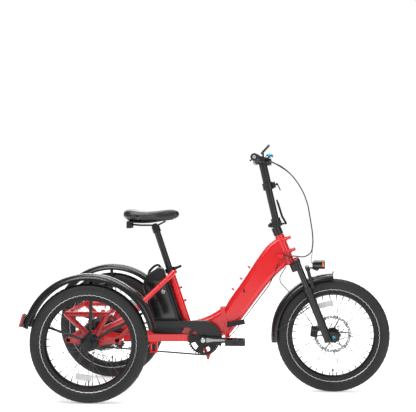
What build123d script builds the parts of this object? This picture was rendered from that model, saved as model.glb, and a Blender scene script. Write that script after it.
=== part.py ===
from build123d import *
import os
from math import asin, atan2, cos, degrees, hypot, pi, radians, sin, sqrt, tan

# Adult folding electric tricycle: one steered front wheel, two rear wheels on a differential axle,
# a step-through frame that folds at its middle, a folding telescopic handlebar post and a saddle on
# a sliding post. Millimetres. While a piece is made, X runs forward from the rear axle, Y to the
# rider's left and Z up from the floor; export moves everything so that X 0 is the middle of the
# whole length.

# ---- driving sizes -------------------------------------------------------------------------------
WHEELBASE = 1100.0
TRACK = 700.0
TYRE_R = 266.0
TYRE_HALF_W = 32.0
TAIL_REACH = 311.4  # rearmost face of the tail lights, behind the rear axle

RUN = 0.05  # radial gap of a running fit
SEAT = 0.3  # gap between a piece and the face that it sits on
AXLE_Z = TYRE_R
HALF_TRACK = TRACK / 2

# wheels
RIM_OUT_R = 212.0
BEAD_R = 203.0
RIM_IN_R = 190.0
RIM_HALF_W = 20.0
FLANGE_WALL = 2.7
TUBE_R = 20.0
TUBE_RING_R = 241.6
VALVE_R = 3.0
VALVE_TIP_R = 160.0
SPOKES = 36
SPOKE_R = 1.1
NIPPLE_R = 2.2
NIPPLE_LEN = 14.0
SPOKE_CIRCLE_R = 31.5
SPOKE_CROSSING = 60.0
HUB_FLANGE_R = 33.0
HUB_FLANGE_T = 2.0
SPOKE_SIDE = 3.0  # how far a spoke's centre stands beside its flange
RIM_SPOKE_Y = 5.0
FRONT_FLANGE_Y = 24.0
FRONT_HUB_HALF = 36.0
FRONT_AXLE_R = 6.0
BEARING_T = 9.0
REAR_FLANGE_Y = 24.0
REAR_HUB_HALF = 38.0
HALF_SHAFT_R = 8.5
AXLE_NUT_R = 15.0

# steering axis and fork
STEER_LEAN = 22.0
HEAD_TOP_X, HEAD_TOP_Z = 846.0, 737.0
HEAD_LEN = 146.0
HEAD_R = 22.0
HEAD_BORE_R = 18.5
STEERER_R = 14.3
FORK_HALF_Y = 62.0
STANCHION_R = 15.0
LEG_R = 18.5
LEG_FORWARD = 30.0
LOWER_TOP = 275.0  # these lie along the steering axis, below the top of the head tube
LOWER_BOTTOM = 545.0
CROWN_TOP = 149.0
CROWN_BOTTOM = 183.0
ARCH_AT = 196.0
ARCH_FORWARD = 66.0
DISC_T = 1.8
FRONT_DISC_R = 88.0
FRONT_DISC_Y = 36.2

# handlebar post
POST_LEAN = 13.0
POST_BASE_X, POST_BASE_Z = 835.0, 789.0
INNER_POST_R = 16.5
INNER_POST_TOP = 243.0
SLEEVE_R = 19.0
SLEEVE_BOTTOM = 166.0
BAR_AT = 306.0
PLATE_HALF = 27.0
PLATE_T = 12.0
HINGE_BACK = 33.0
HINGE_PIN_R = 4.0
KNUCKLE_R = 8.5
BAR_R = 11.1
BAR_CLAMP_R = 15.9
BAR_HALF = 320.0
BAR_KNEE_Y = 168.0
BAR_KNEE_BACK = 20.0
BAR_END_BACK = 32.0
BAR_RISE = 6.5
GRIP_LEN = 116.0
GRIP_R = 17.5

# frame
SEAT_LEAN = 18.6
SEAT_TUBE_R = 18.0
SEAT_POST_R = 15.2
SEAT_TUBE_FOOT_X, SEAT_TUBE_FOOT_Z = 409.0, 332.0
SEAT_TUBE_TOP_Z = 576.0
COLLAR_LEN = 16.0
CRANK_X, CRANK_Z = 492.0, 248.0
BB_R = 22.0
BB_HALF = 36.0
BB_BORE_R = 17.0
SPINDLE_R = 8.0
HINGE_X = 592.0
HINGE_Y = 44.0
HINGE_PLATE_T = 11.0
HINGE_LOW_Z, HINGE_HIGH_Z = 262.0, 392.0
HINGE_TILT = 10.0
FRAME_PIN_R = 6.0
FRAME_KNUCKLE_R = 11.0
HINGE_GAP = 0.4
BEAM_W, BEAM_H = 20.0, 33.0
STAY_R = 12.5
WALL = 3.0
LATCH_Z, LATCH_Y, LATCH_R = 322.0, -47.2, 8.0
LATCH_AHEAD = 19.0

# rear axle
CARRIER_X = 112.0
CARRIER_TUBE_R = 13.0
INNER_PLATE_Y = 92.0
OUTER_PLATE_Y = 244.0
PLATE_THICK = 10.0
HOUSING_R = 26.0
HOUSING_END = 298.0
BEARING_R = 19.0
RAIL_Z = 384.0
RAIL_REAR_X, RAIL_FRONT_X = -120.0, 66.0
RAIL_R = 12.5
MOTOR_R = 76.0
MOTOR_HALF = 38.0
MOTOR_WALL = 13.0
CARRIER_SHAFT_R = 16.0
REAR_DISC_R = 92.0
REAR_DISC_Y = 56.0

# drive
PITCH = 12.7
ROLLER_R = 4.0
CHAIN_Y = -50.0
RING_TEETH, SPROCKET_TEETH, IDLER_TEETH = 36, 28, 11
TOOTH_T = 2.2
LINK_HALF_H = 4.2
LINK_IN, LINK_OUT = 2.2, 3.5
IDLER_X = 97.0
CRANK_LEN = 152.0
ARM_IN_Y, ARM_OUT_Y = 70.5, 84.0
PEDAL_AXLE_R = 5.0
PEDAL_X, PEDAL_Y, PEDAL_Z = 92.0, 88.0, 26.0
GUARD_R = 88.0
GUARD_T = 2.5
GUARD_CUT = 30.0  # slope of the guard's lower edge across the chainring
GUARD_OUT_Y, GUARD_IN_Y = -66.5, -38.3

# battery
BATTERY_HALF_W = 36.0
DOCK_HALF_W = 37.4
RAIL_T = 9.0
DOCK_LOW_Z, DOCK_HIGH_Z = 271.5, 316.0

# mudguards
GUARD_RADIUS = 304.0
MUDGUARD_HALF_W = 40.0
MUDGUARD_DROP = 30.0
MUDGUARD_T = 2.2
FRONT_MUDGUARD_RADIUS = 292.0
FLAP_FOOT_Z, FLAP_TIP_Z = 553.0, 566.0
FLAP_HALF_W = 20.0

# threaded bosses
PORT = (851.5, -32.0, 640.0)  # block where the cables enter the frame
BOSS_HOLE_R = 2.5
BOSS_DEPTH = 16.0
FRONT_BOSS_Y = 16.0
FRONT_BOSS_AT = (28.0, 88.0)
FRONT_BOSS_LEN = 26.0
CAGE_BOSS_UP = (92.0, 156.0)

CABLE_R = 2.5
MID_X = (WHEELBASE + TYRE_R - TAIL_REACH) / 2
BASE = (Align.CENTER, Align.CENTER, Align.MIN)


# ---- helpers -------------------------------------------------------------------------------------
def rod(start, end, radius, bore=0.0):
    """Round bar, or tube where it has a bore, between two points."""
    run = Vector(*end) - Vector(*start)
    place = Plane(origin=start, z_dir=run)
    made = place * Cylinder(radius, run.length, align=BASE)
    if bore:
        made -= place * Cylinder(bore, run.length, align=BASE)
    return made


def across(x, z, y0, y1, radius, bore=0.0):
    """Round piece whose axis runs along Y."""
    return rod((x, y0, z), (x, y1, z), radius, bore)


def bar(start, end, width, height):
    """Rectangular bar between two points, its width mostly along Y."""
    run = Vector(*end) - Vector(*start)
    place = Plane(origin=start, x_dir=(0, 1, 0), z_dir=run)
    return place * Box(width, height, run.length, align=BASE)


def poly(*points):
    return make_face(Polyline(*points, close=True))


def slab(outline, y0, y1):
    """Side outline drawn in X and Z, given a thickness from y0 to y1."""
    return extrude(Pos(0, y1, 0) * (Plane.XZ * outline), amount=y1 - y0)


def turned(*points):
    """Ring or drum about the Y axis, from its section as (radius, y) points."""
    return revolve(poly(*points), Axis.Y)


def mirrored(shape):
    return mirror(shape, about=Plane.XZ)


def both(shape):
    """The shape and its mirror image on the other side, as separate solids."""
    return Compound(children=[*shape.solids(), *mirrored(shape).solids()])


def group(*shapes):
    return Compound(children=[s for shape in shapes for s in shape.solids()])


def swept(points, radius, bend):
    """Round bar along straight runs joined by arcs."""
    path = FilletPolyline(*points, radius=bend)
    start = Vector(*points[0])
    place = Plane(origin=start, z_dir=Vector(*points[1]) - start)
    return sweep(place * Circle(radius), path=path)


def frame_of(origin, lean):
    """Unit vectors (up, forward) of an axis that leans back, and a function placing a point on it."""
    up = Vector(-sin(radians(lean)), 0, cos(radians(lean)))
    ahead = Vector(cos(radians(lean)), 0, sin(radians(lean)))
    base = Vector(*origin)

    def at(rise, forward=0.0, y=0.0):
        p = base + up * rise + ahead * forward
        return (p.X, y, p.Z)

    return up, ahead, at


STEER_UP, STEER_AHEAD, steer_up = frame_of((HEAD_TOP_X, 0, HEAD_TOP_Z), STEER_LEAN)
POST_UP, POST_AHEAD, post = frame_of((POST_BASE_X, 0, POST_BASE_Z), POST_LEAN)
SEAT_UP, SEAT_AHEAD, seat = frame_of((SEAT_TUBE_FOOT_X, 0, SEAT_TUBE_FOOT_Z), SEAT_LEAN)
SEAT_TUBE_LEN = (SEAT_TUBE_TOP_Z - SEAT_TUBE_FOOT_Z) / cos(radians(SEAT_LEAN))
AXLE_DOWN = (WHEELBASE - HEAD_TOP_X) * sin(radians(STEER_LEAN)) + (HEAD_TOP_Z - AXLE_Z) * cos(
    radians(STEER_LEAN)
)
AXLE_FORWARD = (WHEELBASE - HEAD_TOP_X) * cos(radians(STEER_LEAN)) - (HEAD_TOP_Z - AXLE_Z) * sin(
    radians(STEER_LEAN)
)


def steer(down, forward=0.0, y=0.0):
    """Point beside the steering axis, measured down from the top of the head tube."""
    return steer_up(-down, forward, y)


def pitch_radius(teeth):
    return PITCH / 2 / sin(pi / teeth)


RING_R = pitch_radius(RING_TEETH)
SPROCKET_R = pitch_radius(SPROCKET_TEETH)
IDLER_R = pitch_radius(IDLER_TEETH)


# ---- wheels --------------------------------------------------------------------------------------
def tyre():
    """Hollow carcass whose beads sit between the rim's flanges, and the inner tube with its valve."""
    lip = RIM_HALF_W - FLANGE_WALL - SEAT
    low = BEAD_R + SEAT
    over = RIM_OUT_R + 1.5
    belly = (TYRE_R + RIM_OUT_R) / 2 - 3
    shoulder = TYRE_R - 6
    wall = 4.0
    outer = [
        (over, lip + 3.5),
        (over + 9, TYRE_HALF_W - 3),
        (belly, TYRE_HALF_W),
        (belly + 14, TYRE_HALF_W - 3),
        (shoulder, TYRE_HALF_W - 12),
        (TYRE_R, 0),
    ]
    inner = [(r - (wall if y < TYRE_HALF_W - 8 else 0), max(0.0, y - (0 if y == 0 else wall)))
             for r, y in outer]
    inner[0] = (over + 2, lip - 1)
    mirror_y = lambda pts: [(r, -y) for r, y in reversed(pts[:-1])]
    out_line = Spline(*(outer + mirror_y(outer)))
    in_line = Spline(*(inner + mirror_y(inner)))
    beads = []
    for side in (1, -1):
        beads.append(
            Polyline(
                (outer[0][0], side * outer[0][1]),
                (RIM_OUT_R + SEAT, side * lip),
                (low, side * lip),
                (low, side * (lip - 5)),
                (inner[0][0], side * inner[0][1]),
            )
        )
    carcass = revolve(make_face(Wire([*out_line.edges(), *in_line.edges(), *beads[0].edges(),
                                      *beads[1].edges()])), Axis.Y)
    ring = Rot(90, 0, 0) * Torus(TUBE_RING_R, TUBE_R)
    valve = rod((0, 0, -TUBE_RING_R + TUBE_R - 2), (0, 0, -VALVE_TIP_R), VALVE_R)
    return group(carcass, ring + valve)


def rim():
    """Double-walled rim with hooked flanges and a valve hole at the bottom."""
    hook = RIM_HALF_W - FLANGE_WALL
    section = turned(
        (RIM_IN_R, 9), (RIM_IN_R + 7, RIM_HALF_W), (RIM_OUT_R, RIM_HALF_W), (RIM_OUT_R, hook),
        (BEAD_R, hook), (BEAD_R, 11), (BEAD_R - 4, 8), (BEAD_R - 4, -8), (BEAD_R, -11),
        (BEAD_R, -hook), (RIM_OUT_R, -hook), (RIM_OUT_R, -RIM_HALF_W), (RIM_IN_R + 7, -RIM_HALF_W),
        (RIM_IN_R, -9),
    )
    hollow = turned(
        (RIM_IN_R + 2, 7), (BEAD_R - 6, 10), (BEAD_R - 6, -10), (RIM_IN_R + 2, -7)
    )
    hole = rod((0, 0, -RIM_IN_R + 5), (0, 0, -BEAD_R - 5), VALVE_R + 0.5)
    return section - hollow - hole


def spokes(flange_y):
    """Tangent spokes with nipples, half of them leading and half trailing on each flange."""
    made = []
    per_side = SPOKES // 2
    step = 360 / per_side
    for side in (1, -1):
        for n in range(per_side):
            lean = SPOKE_CROSSING if n % 2 else -SPOKE_CROSSING
            stand = SPOKE_SIDE if n % 2 else -SPOKE_SIDE
            a = n * step + step / 4 + (side < 0) * step / 2
            b = a + lean
            hub_end = Vector(SPOKE_CIRCLE_R * cos(radians(a)), side * (flange_y + stand),
                             SPOKE_CIRCLE_R * sin(radians(a)))
            reach = RIM_IN_R - 1.0
            rim_end = Vector(reach * cos(radians(b)), side * RIM_SPOKE_Y, reach * sin(radians(b)))
            back = rim_end - (rim_end - hub_end).normalized() * NIPPLE_LEN
            wire = rod(tuple(hub_end), tuple(back), SPOKE_R)
            made.append(wire + rod(tuple(back), tuple(rim_end), NIPPLE_R))
    return made


def hub(flange_y, half, body_r, bore):
    """Hub shell with two thin spoke flanges."""
    f, t = flange_y, HUB_FLANGE_T / 2
    return turned(
        (bore, -half), (body_r - 4, -half), (body_r, -half + 5), (body_r, -f - 4), (HUB_FLANGE_R, -f - t),
        (HUB_FLANGE_R, -f + t), (body_r, -f + 4), (body_r, f - 4), (HUB_FLANGE_R, f - t),
        (HUB_FLANGE_R, f + t), (body_r, f + 4), (body_r, half - 5), (body_r - 4, half), (bore, half),
    )


def brake_disc(radius, y, bore):
    """Ventilated brake disc with slanted arms and a drilled band."""
    band = 14.0
    plate = Circle(radius) - Circle(radius - band)
    arms = [
        Rot(0, 0, k * 60) * (Pos(0, 8) * Rectangle(radius - band / 2, 7, align=(Align.MIN, Align.CENTER)))
        for k in range(6)
    ]
    face = plate + Circle(bore + 12)
    for arm in arms:
        face += arm
    face -= Circle(bore)
    for k in range(36):
        turn = k * 10
        out = radius - band / 2 + (3.4, 0, -3.4)[k % 3]
        face -= Rot(0, 0, turn) * (Pos(out, 0) * Circle(2.4))
    return Pos(0, y + DISC_T / 2, 0) * Rot(90, 0, 0) * extrude(face, amount=DISC_T)


def place_wheel(shape, x, y):
    return Pos(x, y, AXLE_Z) * shape


def front_wheel():
    at = lambda s: place_wheel(s, WHEELBASE, 0)
    bearing_r = 13.0
    shell = hub(FRONT_FLANGE_Y, FRONT_HUB_HALF, 19.0, bearing_r)
    rings = [
        across(0, 0, side * (FRONT_HUB_HALF - 1), side * (FRONT_HUB_HALF - 1 - BEARING_T),
               bearing_r - RUN, FRONT_AXLE_R + RUN)
        for side in (1, -1)
    ]
    shell += turned((14.0, FRONT_HUB_HALF - 5), (26.0, FRONT_HUB_HALF - 5), (26.0, FRONT_HUB_HALF),
                    (14.0, FRONT_HUB_HALF))
    return {
        "front_tyre": at(tyre()),
        "front_rim": at(rim()),
        "front_spokes": at(group(*spokes(FRONT_FLANGE_Y))),
        "front_hub": at(group(shell, *rings)),
        "front_brake_disc": at(brake_disc(FRONT_DISC_R, FRONT_DISC_Y + DISC_T / 2, 13.5)),
    }


def rear_wheel(side):
    """Wheel on its half shaft. The shaft runs in the axle carrier's bearings."""
    name = "rear_left" if side > 0 else "rear_right"
    at = lambda s: place_wheel(s, 0, side * HALF_TRACK)
    shell = hub(REAR_FLANGE_Y, REAR_HUB_HALF, 24.0, HALF_SHAFT_R + RUN)
    shaft = rod((0, -side * (HALF_TRACK - 2), 0), (0, side * (REAR_HUB_HALF + 2), 0), HALF_SHAFT_R)
    nut = rod((0, side * (REAR_HUB_HALF + 0.2), 0), (0, side * (REAR_HUB_HALF + 5), 0), AXLE_NUT_R)
    return {
        f"{name}_tyre": at(tyre()),
        f"{name}_rim": at(rim()),
        f"{name}_spokes": at(group(*spokes(REAR_FLANGE_Y))),
        f"{name}_hub": at(group(shell, shaft + nut)),
    }


# ---- front fork ----------------------------------------------------------------------------------
def fork_crown():
    """Crown, steerer and the two stanchions that the lower legs slide on."""
    steerer = rod(steer(CROWN_TOP), steer(-42), STEERER_R)
    yoke = SlotOverall(2 * (FORK_HALF_Y + 22), 44, rotation=0)
    place = Plane(origin=steer(CROWN_TOP, LEG_FORWARD * 0.5), x_dir=(0, 1, 0), z_dir=-STEER_UP)
    made = extrude(place * yoke, amount=CROWN_BOTTOM - CROWN_TOP) + steerer
    for side in (1, -1):
        y = side * FORK_HALF_Y
        made += rod(steer(CROWN_TOP - 14, LEG_FORWARD, y), steer(LOWER_BOTTOM - 90, LEG_FORWARD, y),
                    STANCHION_R)
        made += rod(steer(CROWN_TOP - 10, LEG_FORWARD, y), steer(CROWN_TOP + 2, LEG_FORWARD, y), 17.5)
        made -= rod(steer(CROWN_BOTTOM, LEG_FORWARD, y), steer(LOWER_BOTTOM - 89, LEG_FORWARD, y),
                    STANCHION_R - WALL)
    return made


def fork_lowers():
    """Lower legs bored for the stanchions, joined by an arch over the tyre, with axle lugs."""
    made = None
    for side in (1, -1):
        y = side * FORK_HALF_Y
        leg = rod(steer(LOWER_TOP, LEG_FORWARD, y), steer(LOWER_BOTTOM, LEG_FORWARD, y), LEG_R)
        leg += rod(steer(LOWER_TOP, LEG_FORWARD, y), steer(LOWER_TOP + 22, LEG_FORWARD, y), LEG_R + 3)
        lug = bar(steer(LOWER_BOTTOM - 30, LEG_FORWARD + 4, y), steer(AXLE_DOWN, AXLE_FORWARD, y), 12, 36)
        lug += across(WHEELBASE, AXLE_Z, y - 6, y + 6, 19)
        post_up = bar(steer(LOWER_TOP + 12, LEG_FORWARD + 24, y), steer(ARCH_AT, ARCH_FORWARD, y), 24, 14)
        side_part = leg + lug + post_up
        made = side_part if made is None else made + side_part
    made += rod(steer(ARCH_AT, ARCH_FORWARD, -FORK_HALF_Y - 10),
                steer(ARCH_AT, ARCH_FORWARD, FORK_HALF_Y + 10), 11)
    lug_y = FRONT_DISC_Y + 16
    made += bar((WHEELBASE - 38, lug_y, AXLE_Z + 34), (WHEELBASE - 74, lug_y - 4, AXLE_Z + 20),
                10, 24) - front_caliper()
    for side in (1, -1):
        y = side * FORK_HALF_Y
        made -= rod(steer(LOWER_TOP - 1, LEG_FORWARD, y), steer(LOWER_BOTTOM - 40, LEG_FORWARD, y),
                    STANCHION_R + RUN)
    made -= across(WHEELBASE, AXLE_Z, -FORK_HALF_Y - 20, FORK_HALF_Y + 20, FRONT_AXLE_R + RUN)
    axle = across(WHEELBASE, AXLE_Z, -FORK_HALF_Y - 14, FORK_HALF_Y + 14, FRONT_AXLE_R)
    for side in (1, -1):
        axle += across(WHEELBASE, AXLE_Z, side * (FORK_HALF_Y + 6.3), side * (FORK_HALF_Y + 13), 10)
        axle += across(WHEELBASE, AXLE_Z, side * (FRONT_HUB_HALF + 0.4), side * (FORK_HALF_Y - 6.3), 9)
    return group(made, axle)


def caliper(x, z, turn, y, span, depth, wide):
    """Caliper block that straddles a disc lying in the plane y."""
    block = Box(wide, span, depth)
    block = fillet(block.edges().filter_by(Axis.Y), 6)
    block -= Pos(wide / 2 - 4, 0, 0) * Box(wide * 1.3, DISC_T + 2.4, depth + 2)
    pistons = Pos(4, 0, 0) * (
        rod((0, span / 2 - 2, 0), (0, span / 2 + 5, 0), 11)
        + rod((0, -span / 2 + 2, 0), (0, -span / 2 - 3, 0), 9)
    )
    return Pos(x, y, z) * (Rot(0, turn, 0) * (block + pistons))


def front_caliper():
    reach = FRONT_DISC_R - 9
    turn = 172.0
    x = WHEELBASE + reach * cos(radians(turn))
    z = AXLE_Z + reach * sin(radians(turn))
    return caliper(x - 8, z, 8.0, FRONT_DISC_Y + DISC_T / 2, 20, 50, 34)


def mudguard(radius, from_deg, to_deg, centre):
    """Curved blade: an arched section carried round the wheel."""
    w, d, t = MUDGUARD_HALF_W, MUDGUARD_DROP, MUDGUARD_T
    outer = Spline((radius - d, w), (radius - d * 0.35, w * 0.82), (radius, 0),
                   (radius - d * 0.35, -w * 0.82), (radius - d, -w))
    inner = Spline((radius - d, w - t), (radius - d * 0.35 - t * 0.7, w * 0.82 - t * 0.8), (radius - t, 0),
                   (radius - d * 0.35 - t * 0.7, -w * 0.82 + t * 0.8), (radius - d, -w + t))
    ends = [Line((radius - d, s * w), (radius - d, s * (w - t))) for s in (1, -1)]
    face = make_face(Wire([*outer.edges(), *inner.edges(), *ends[0].edges(), *ends[1].edges()]))
    blade = revolve(face, Axis.Y, revolution_arc=to_deg - from_deg)
    return Pos(*centre) * (Rot(0, -to_deg, 0) * blade)


def front_mudguard():
    blade = mudguard(FRONT_MUDGUARD_RADIUS, 90, 187, (WHEELBASE, 0, AXLE_Z))
    arch = Vector(*steer(ARCH_AT, ARCH_FORWARD)) - Vector(WHEELBASE, 0, AXLE_Z)
    ray = arch.normalized()
    low, high = ray * (FRONT_MUDGUARD_RADIUS - 1), ray * (arch.length - 11.4)
    centre = Vector(WHEELBASE, 0, AXLE_Z)
    flap = bar((WHEELBASE - 4, 0, FLAP_FOOT_Z), (WHEELBASE + 2, 0, FLAP_TIP_Z), 2 * FLAP_HALF_W, MUDGUARD_T)
    made = [blade + bar(tuple(centre + low), tuple(centre + high), 24, 4) + flap]
    tail = 176.0
    reach = FRONT_MUDGUARD_RADIUS - MUDGUARD_DROP + 10
    for side in (1, -1):
        foot = (WHEELBASE + reach * cos(radians(tail)), side * (MUDGUARD_HALF_W + 2.6),
                AXLE_Z + reach * sin(radians(tail)))
        top = steer(363, LEG_FORWARD - LEG_R - 3.3, side * (FORK_HALF_Y - 6))
        made.append(rod(foot, top, 2.5))
    return group(*made)


def headlight():
    """Lamp body on a stalk that stands on the fork arch."""
    x0, x1, z = 1003.0, 1062.0, 598.0
    body = rod((x0 + 8, 0, z), (x1, 0, z), 21) + rod((x0, 0, z), (x0 + 10, 0, z), 16)
    body -= rod((x1 - 10, 0, z), (x1 + 1, 0, z), 18.5)
    lens = rod((x1 - 9.6, 0, z), (x1 - 2, 0, z), 18.2)
    foot = steer(ARCH_AT, ARCH_FORWARD + 12.4)
    knee = (foot[0] + 34, 0, foot[2] - 14)
    stalk = bar((foot[0] + 1, 0, foot[2]), knee, 16, 7) + bar(knee, (knee[0] + 8, 0, z - 15), 12, 8)
    return group(body + stalk, lens)


# ---- handlebar post, bar and controls ------------------------------------------------------------
def post_plane(rise):
    return Plane(origin=post(rise), x_dir=(0, 1, 0), z_dir=POST_UP)


def flange(rise, height):
    """Hinge plate of the handlebar post, square to the post."""
    plate = post_plane(rise) * Box(2 * PLATE_HALF - 6, 2 * PLATE_HALF - 4, height, align=BASE)
    return fillet(plate.edges().filter_by(Axis((0, 0, 0), tuple(POST_UP))), 8)


def stem_base():
    """Clamp on the steerer that carries the lower half of the post's hinge."""
    clamp = rod(steer(-2), steer(-40), 23)
    plate = flange(-PLATE_T, PLATE_T - 0.2)
    made = clamp + plate
    for side in (1, -1):
        made += rod(post(0, -HINGE_BACK, side * 9), post(0, -HINGE_BACK, side * 22), KNUCKLE_R)
        made += bar(post(-PLATE_T / 2, -HINGE_BACK + 2, side * 15.5), post(-PLATE_T / 2, -20, side * 15.5),
                    13, 10)
    made += bar(post(-5, 22, 0), post(-5, 35.2, 0), 10, 9)
    made -= rod(post(0, -HINGE_BACK, -8.6), post(0, -HINGE_BACK, 8.6), KNUCKLE_R + 0.6)
    made -= rod(steer(1), steer(-42.5), STEERER_R + RUN)
    return made


def handlepost():
    """Lower post with its hinge plate, middle knuckle and pin."""
    made = flange(0.2, PLATE_T) + rod(post(6), post(INNER_POST_TOP), INNER_POST_R, 13.0)
    made += rod(post(PLATE_T), post(PLATE_T + 16), INNER_POST_R + 6)
    made -= rod(post(-1), post(INNER_POST_TOP + 1), 13.0)
    made -= rod(post(0, -HINGE_BACK, 8.6), post(0, -HINGE_BACK, 30), KNUCKLE_R + 0.6)
    made -= rod(post(0, -HINGE_BACK, -8.6), post(0, -HINGE_BACK, -30), KNUCKLE_R + 0.6)
    knuckle = rod(post(0, -HINGE_BACK, -8), post(0, -HINGE_BACK, 8), KNUCKLE_R)
    knuckle += bar(post(7, -HINGE_BACK + 1, 0), post(7, -18, 0), 16, 10)
    pin = rod(post(0, -HINGE_BACK, -24), post(0, -HINGE_BACK, 24), HINGE_PIN_R)
    return made + knuckle + pin


def bored_for_pin(shape):
    return shape - rod(post(0, -HINGE_BACK, -30), post(0, -HINGE_BACK, 30), HINGE_PIN_R + RUN)


def stem_latch():
    """Lever that lies up the front of the post and swings forward to free it."""
    lever = rod(post(-5, 42, -9), post(-5, 42, 9), 6.5)
    lever += bar(post(-2, 43, 0), post(28, 33.5, 0), 18, 10)
    lever += bar(post(26, 33.5, 0), post(98, 28, 0), 18, 10)
    lever += bar(post(96, 28, 0), post(112, 26, 0), 16, 8)
    return lever


def upper_post():
    """Sleeve that slides on the lower post, its clamp and the handlebar clamp on top."""
    made = rod(post(SLEEVE_BOTTOM), post(BAR_AT - 12), SLEEVE_R)
    made += rod(post(SLEEVE_BOTTOM), post(SLEEVE_BOTTOM + 34), 25)
    made += bar(post(SLEEVE_BOTTOM + 17, 20, 0), post(SLEEVE_BOTTOM + 17, 36.7, 0), 22, 28)
    made += rod(post(BAR_AT, 0, -24), post(BAR_AT, 0, 24), 22)
    made -= rod(post(SLEEVE_BOTTOM - 1), post(BAR_AT - 15), INNER_POST_R + RUN)
    made -= rod(post(BAR_AT, 0, -25), post(BAR_AT, 0, 25), BAR_CLAMP_R + RUN)
    made -= post_plane(SLEEVE_BOTTOM - 1) * Box(1.5, 90, 36, align=(Align.CENTER, Align.MIN, Align.MIN))
    return made


def post_clamp_lever():
    """Cam lever of the sleeve's clamp."""
    at = SLEEVE_BOTTOM + 17
    lever = rod(post(at, 43, -10), post(at, 43, 10), 6)
    lever += bar(post(at + 2, 46, 0), post(at - 32, 53, 0), 20, 5)
    return lever


def handlebar():
    """Swept bar, thicker where it is clamped."""
    x, _, z = post(BAR_AT)
    half = [(x, 0, z), (x, 62, z), (x - BAR_KNEE_BACK, BAR_KNEE_Y, z + BAR_RISE),
            (x - BAR_END_BACK, BAR_HALF, z + BAR_RISE)]
    points = [(px, -py, pz) for px, py, pz in reversed(half[1:])] + half[1:]
    tube = swept(points, BAR_R, 60)
    return tube + rod((x, -26, z), (x, 26, z), BAR_CLAMP_R)


def bar_point(y):
    """Point on the bar's outer part, at a distance y from the middle."""
    x, _, z = post(BAR_AT)
    share = (abs(y) - BAR_KNEE_Y) / (BAR_HALF - BAR_KNEE_Y)
    return (x - BAR_KNEE_BACK - (BAR_END_BACK - BAR_KNEE_BACK) * share, y, z + BAR_RISE)


def grips():
    made = []
    for side in (1, -1):
        start, end = bar_point(side * (BAR_HALF + 3)), bar_point(side * (BAR_HALF - GRIP_LEN))
        inner = bar_point(side * (BAR_HALF + 0.2))
        run = rod(start, end, GRIP_R) - rod(inner, end, BAR_R + RUN)
        made.append(run)
    return group(*made)


LEVER_Y = 182.0
LEVER_PIVOT_FORWARD = 46.0


def lever_pivot(side):
    p = bar_point(side * LEVER_Y)
    return (p[0] + LEVER_PIVOT_FORWARD, side * LEVER_Y, p[2] - 10)


def lever_clamps():
    """Brake lever brackets clamped on the bar, each with a forked nose for its lever."""
    made = []
    for side in (1, -1):
        a, b = bar_point(side * (LEVER_Y - 8)), bar_point(side * (LEVER_Y + 8))
        px, py, pz = lever_pivot(side)
        body = rod(a, b, 17)
        body += bar((a[0] + 8, py, a[2] - 4), (px + 2, py, pz), 18, 24)
        body += rod((px - 6, side * (LEVER_Y - 30), pz + 2), (px - 6, py, pz + 2), 12)
        body += rod((px, py, pz - 13), (px, py, pz + 13), 10)
        body -= Pos(px + 6, py, pz) * Box(34, 40, 9)
        body -= rod(bar_point(side * (LEVER_Y - 40)), bar_point(side * (LEVER_Y + 30)), BAR_R + RUN)
        made.append(body)
    return group(*made)


def brake_lever(side):
    """Blade that swings towards the grip."""
    px, py, pz = lever_pivot(side)
    blade = rod((px, py, pz - 4), (px, py, pz + 4), 7.5)
    blade += bar((px, py, pz), (px + 16, py + side * 18, pz), 8, 8)
    blade += bar((px + 15, py + side * 15, pz - 1), (px + 12, py + side * 118, pz - 3), 8, 12)
    blade += rod((px + 12, py + side * 118, pz - 9), (px + 12, py + side * 118, pz + 3), 7)
    return blade


def display():
    """Tilted screen on a bracket clamped beside the stem."""
    x, _, z = post(BAR_AT)
    low = Vector(x - 4, 0, z + 33)
    tilt = Vector(0.68, 0, 0.73)
    panel = Plane(origin=low, x_dir=(0, 1, 0), z_dir=tilt) * Box(78, 9, 56, align=BASE)
    panel = fillet(panel.edges(), 2.5)
    arm = bar((x + 4, 34, z + 12), (x + 6, 30, z + 52), 8, 8)
    ring = rod((x, 27, z), (x, 41, z), BAR_R + 5, BAR_R + RUN)
    return panel + arm + (ring - rod((x, 20, z), (x, 50, z), BAR_R + RUN))


def throttle():
    """Thumb throttle inboard of the right grip."""
    a, b = bar_point(-(BAR_HALF - GRIP_LEN - 1.5)), bar_point(-(LEVER_Y + 9.5))
    ring = rod(a, b, 15) - rod(a, b, BAR_R + RUN)
    mid = ((a[0] + b[0]) / 2, (a[1] + b[1]) / 2, (a[2] + b[2]) / 2)
    paddle = bar((mid[0] - 15, mid[1], mid[2] - 2), (mid[0] - 32, mid[1] - 2, mid[2] - 14), 7, 6)
    return ring + paddle


# ---- front frame ---------------------------------------------------------------------------------
def split_x(z):
    """The tilted face where the two halves of the frame meet."""
    middle = (HINGE_LOW_Z + HINGE_HIGH_Z) / 2
    return HINGE_X - (z - middle) * tan(radians(HINGE_TILT))


def section(top, bottom, width):
    """Rounded section of the main tube between its upper and lower edge points."""
    a, b = Vector(top[0], 0, top[1]), Vector(bottom[0], 0, bottom[1])
    run = a - b
    place = Plane(origin=(a + b) / 2, x_dir=(0, 1, 0), z_dir=Vector(0, 1, 0).cross(run))
    return place, run.length, width


def lofted(stations, shrink=0.0, round_share=0.42):
    faces = []
    for top, bottom, width in stations:
        place, height, wide = section(top, bottom, width)
        h, w = height - 2 * shrink, wide - 2 * shrink
        faces.append(place * RectangleRounded(w, h, min(w, h) * round_share))
    return loft(faces)


FRONT_STATIONS = [
    ((split_x(388) + 10, 390), (split_x(266) + 10, 264), 66),
    ((626, 450), (676, 345), 64),
    ((680, 526), (744, 438), 60),
    ((736, 612), (804, 516), 54),
    ((800, 696), (868, 580), 44),
]


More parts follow.
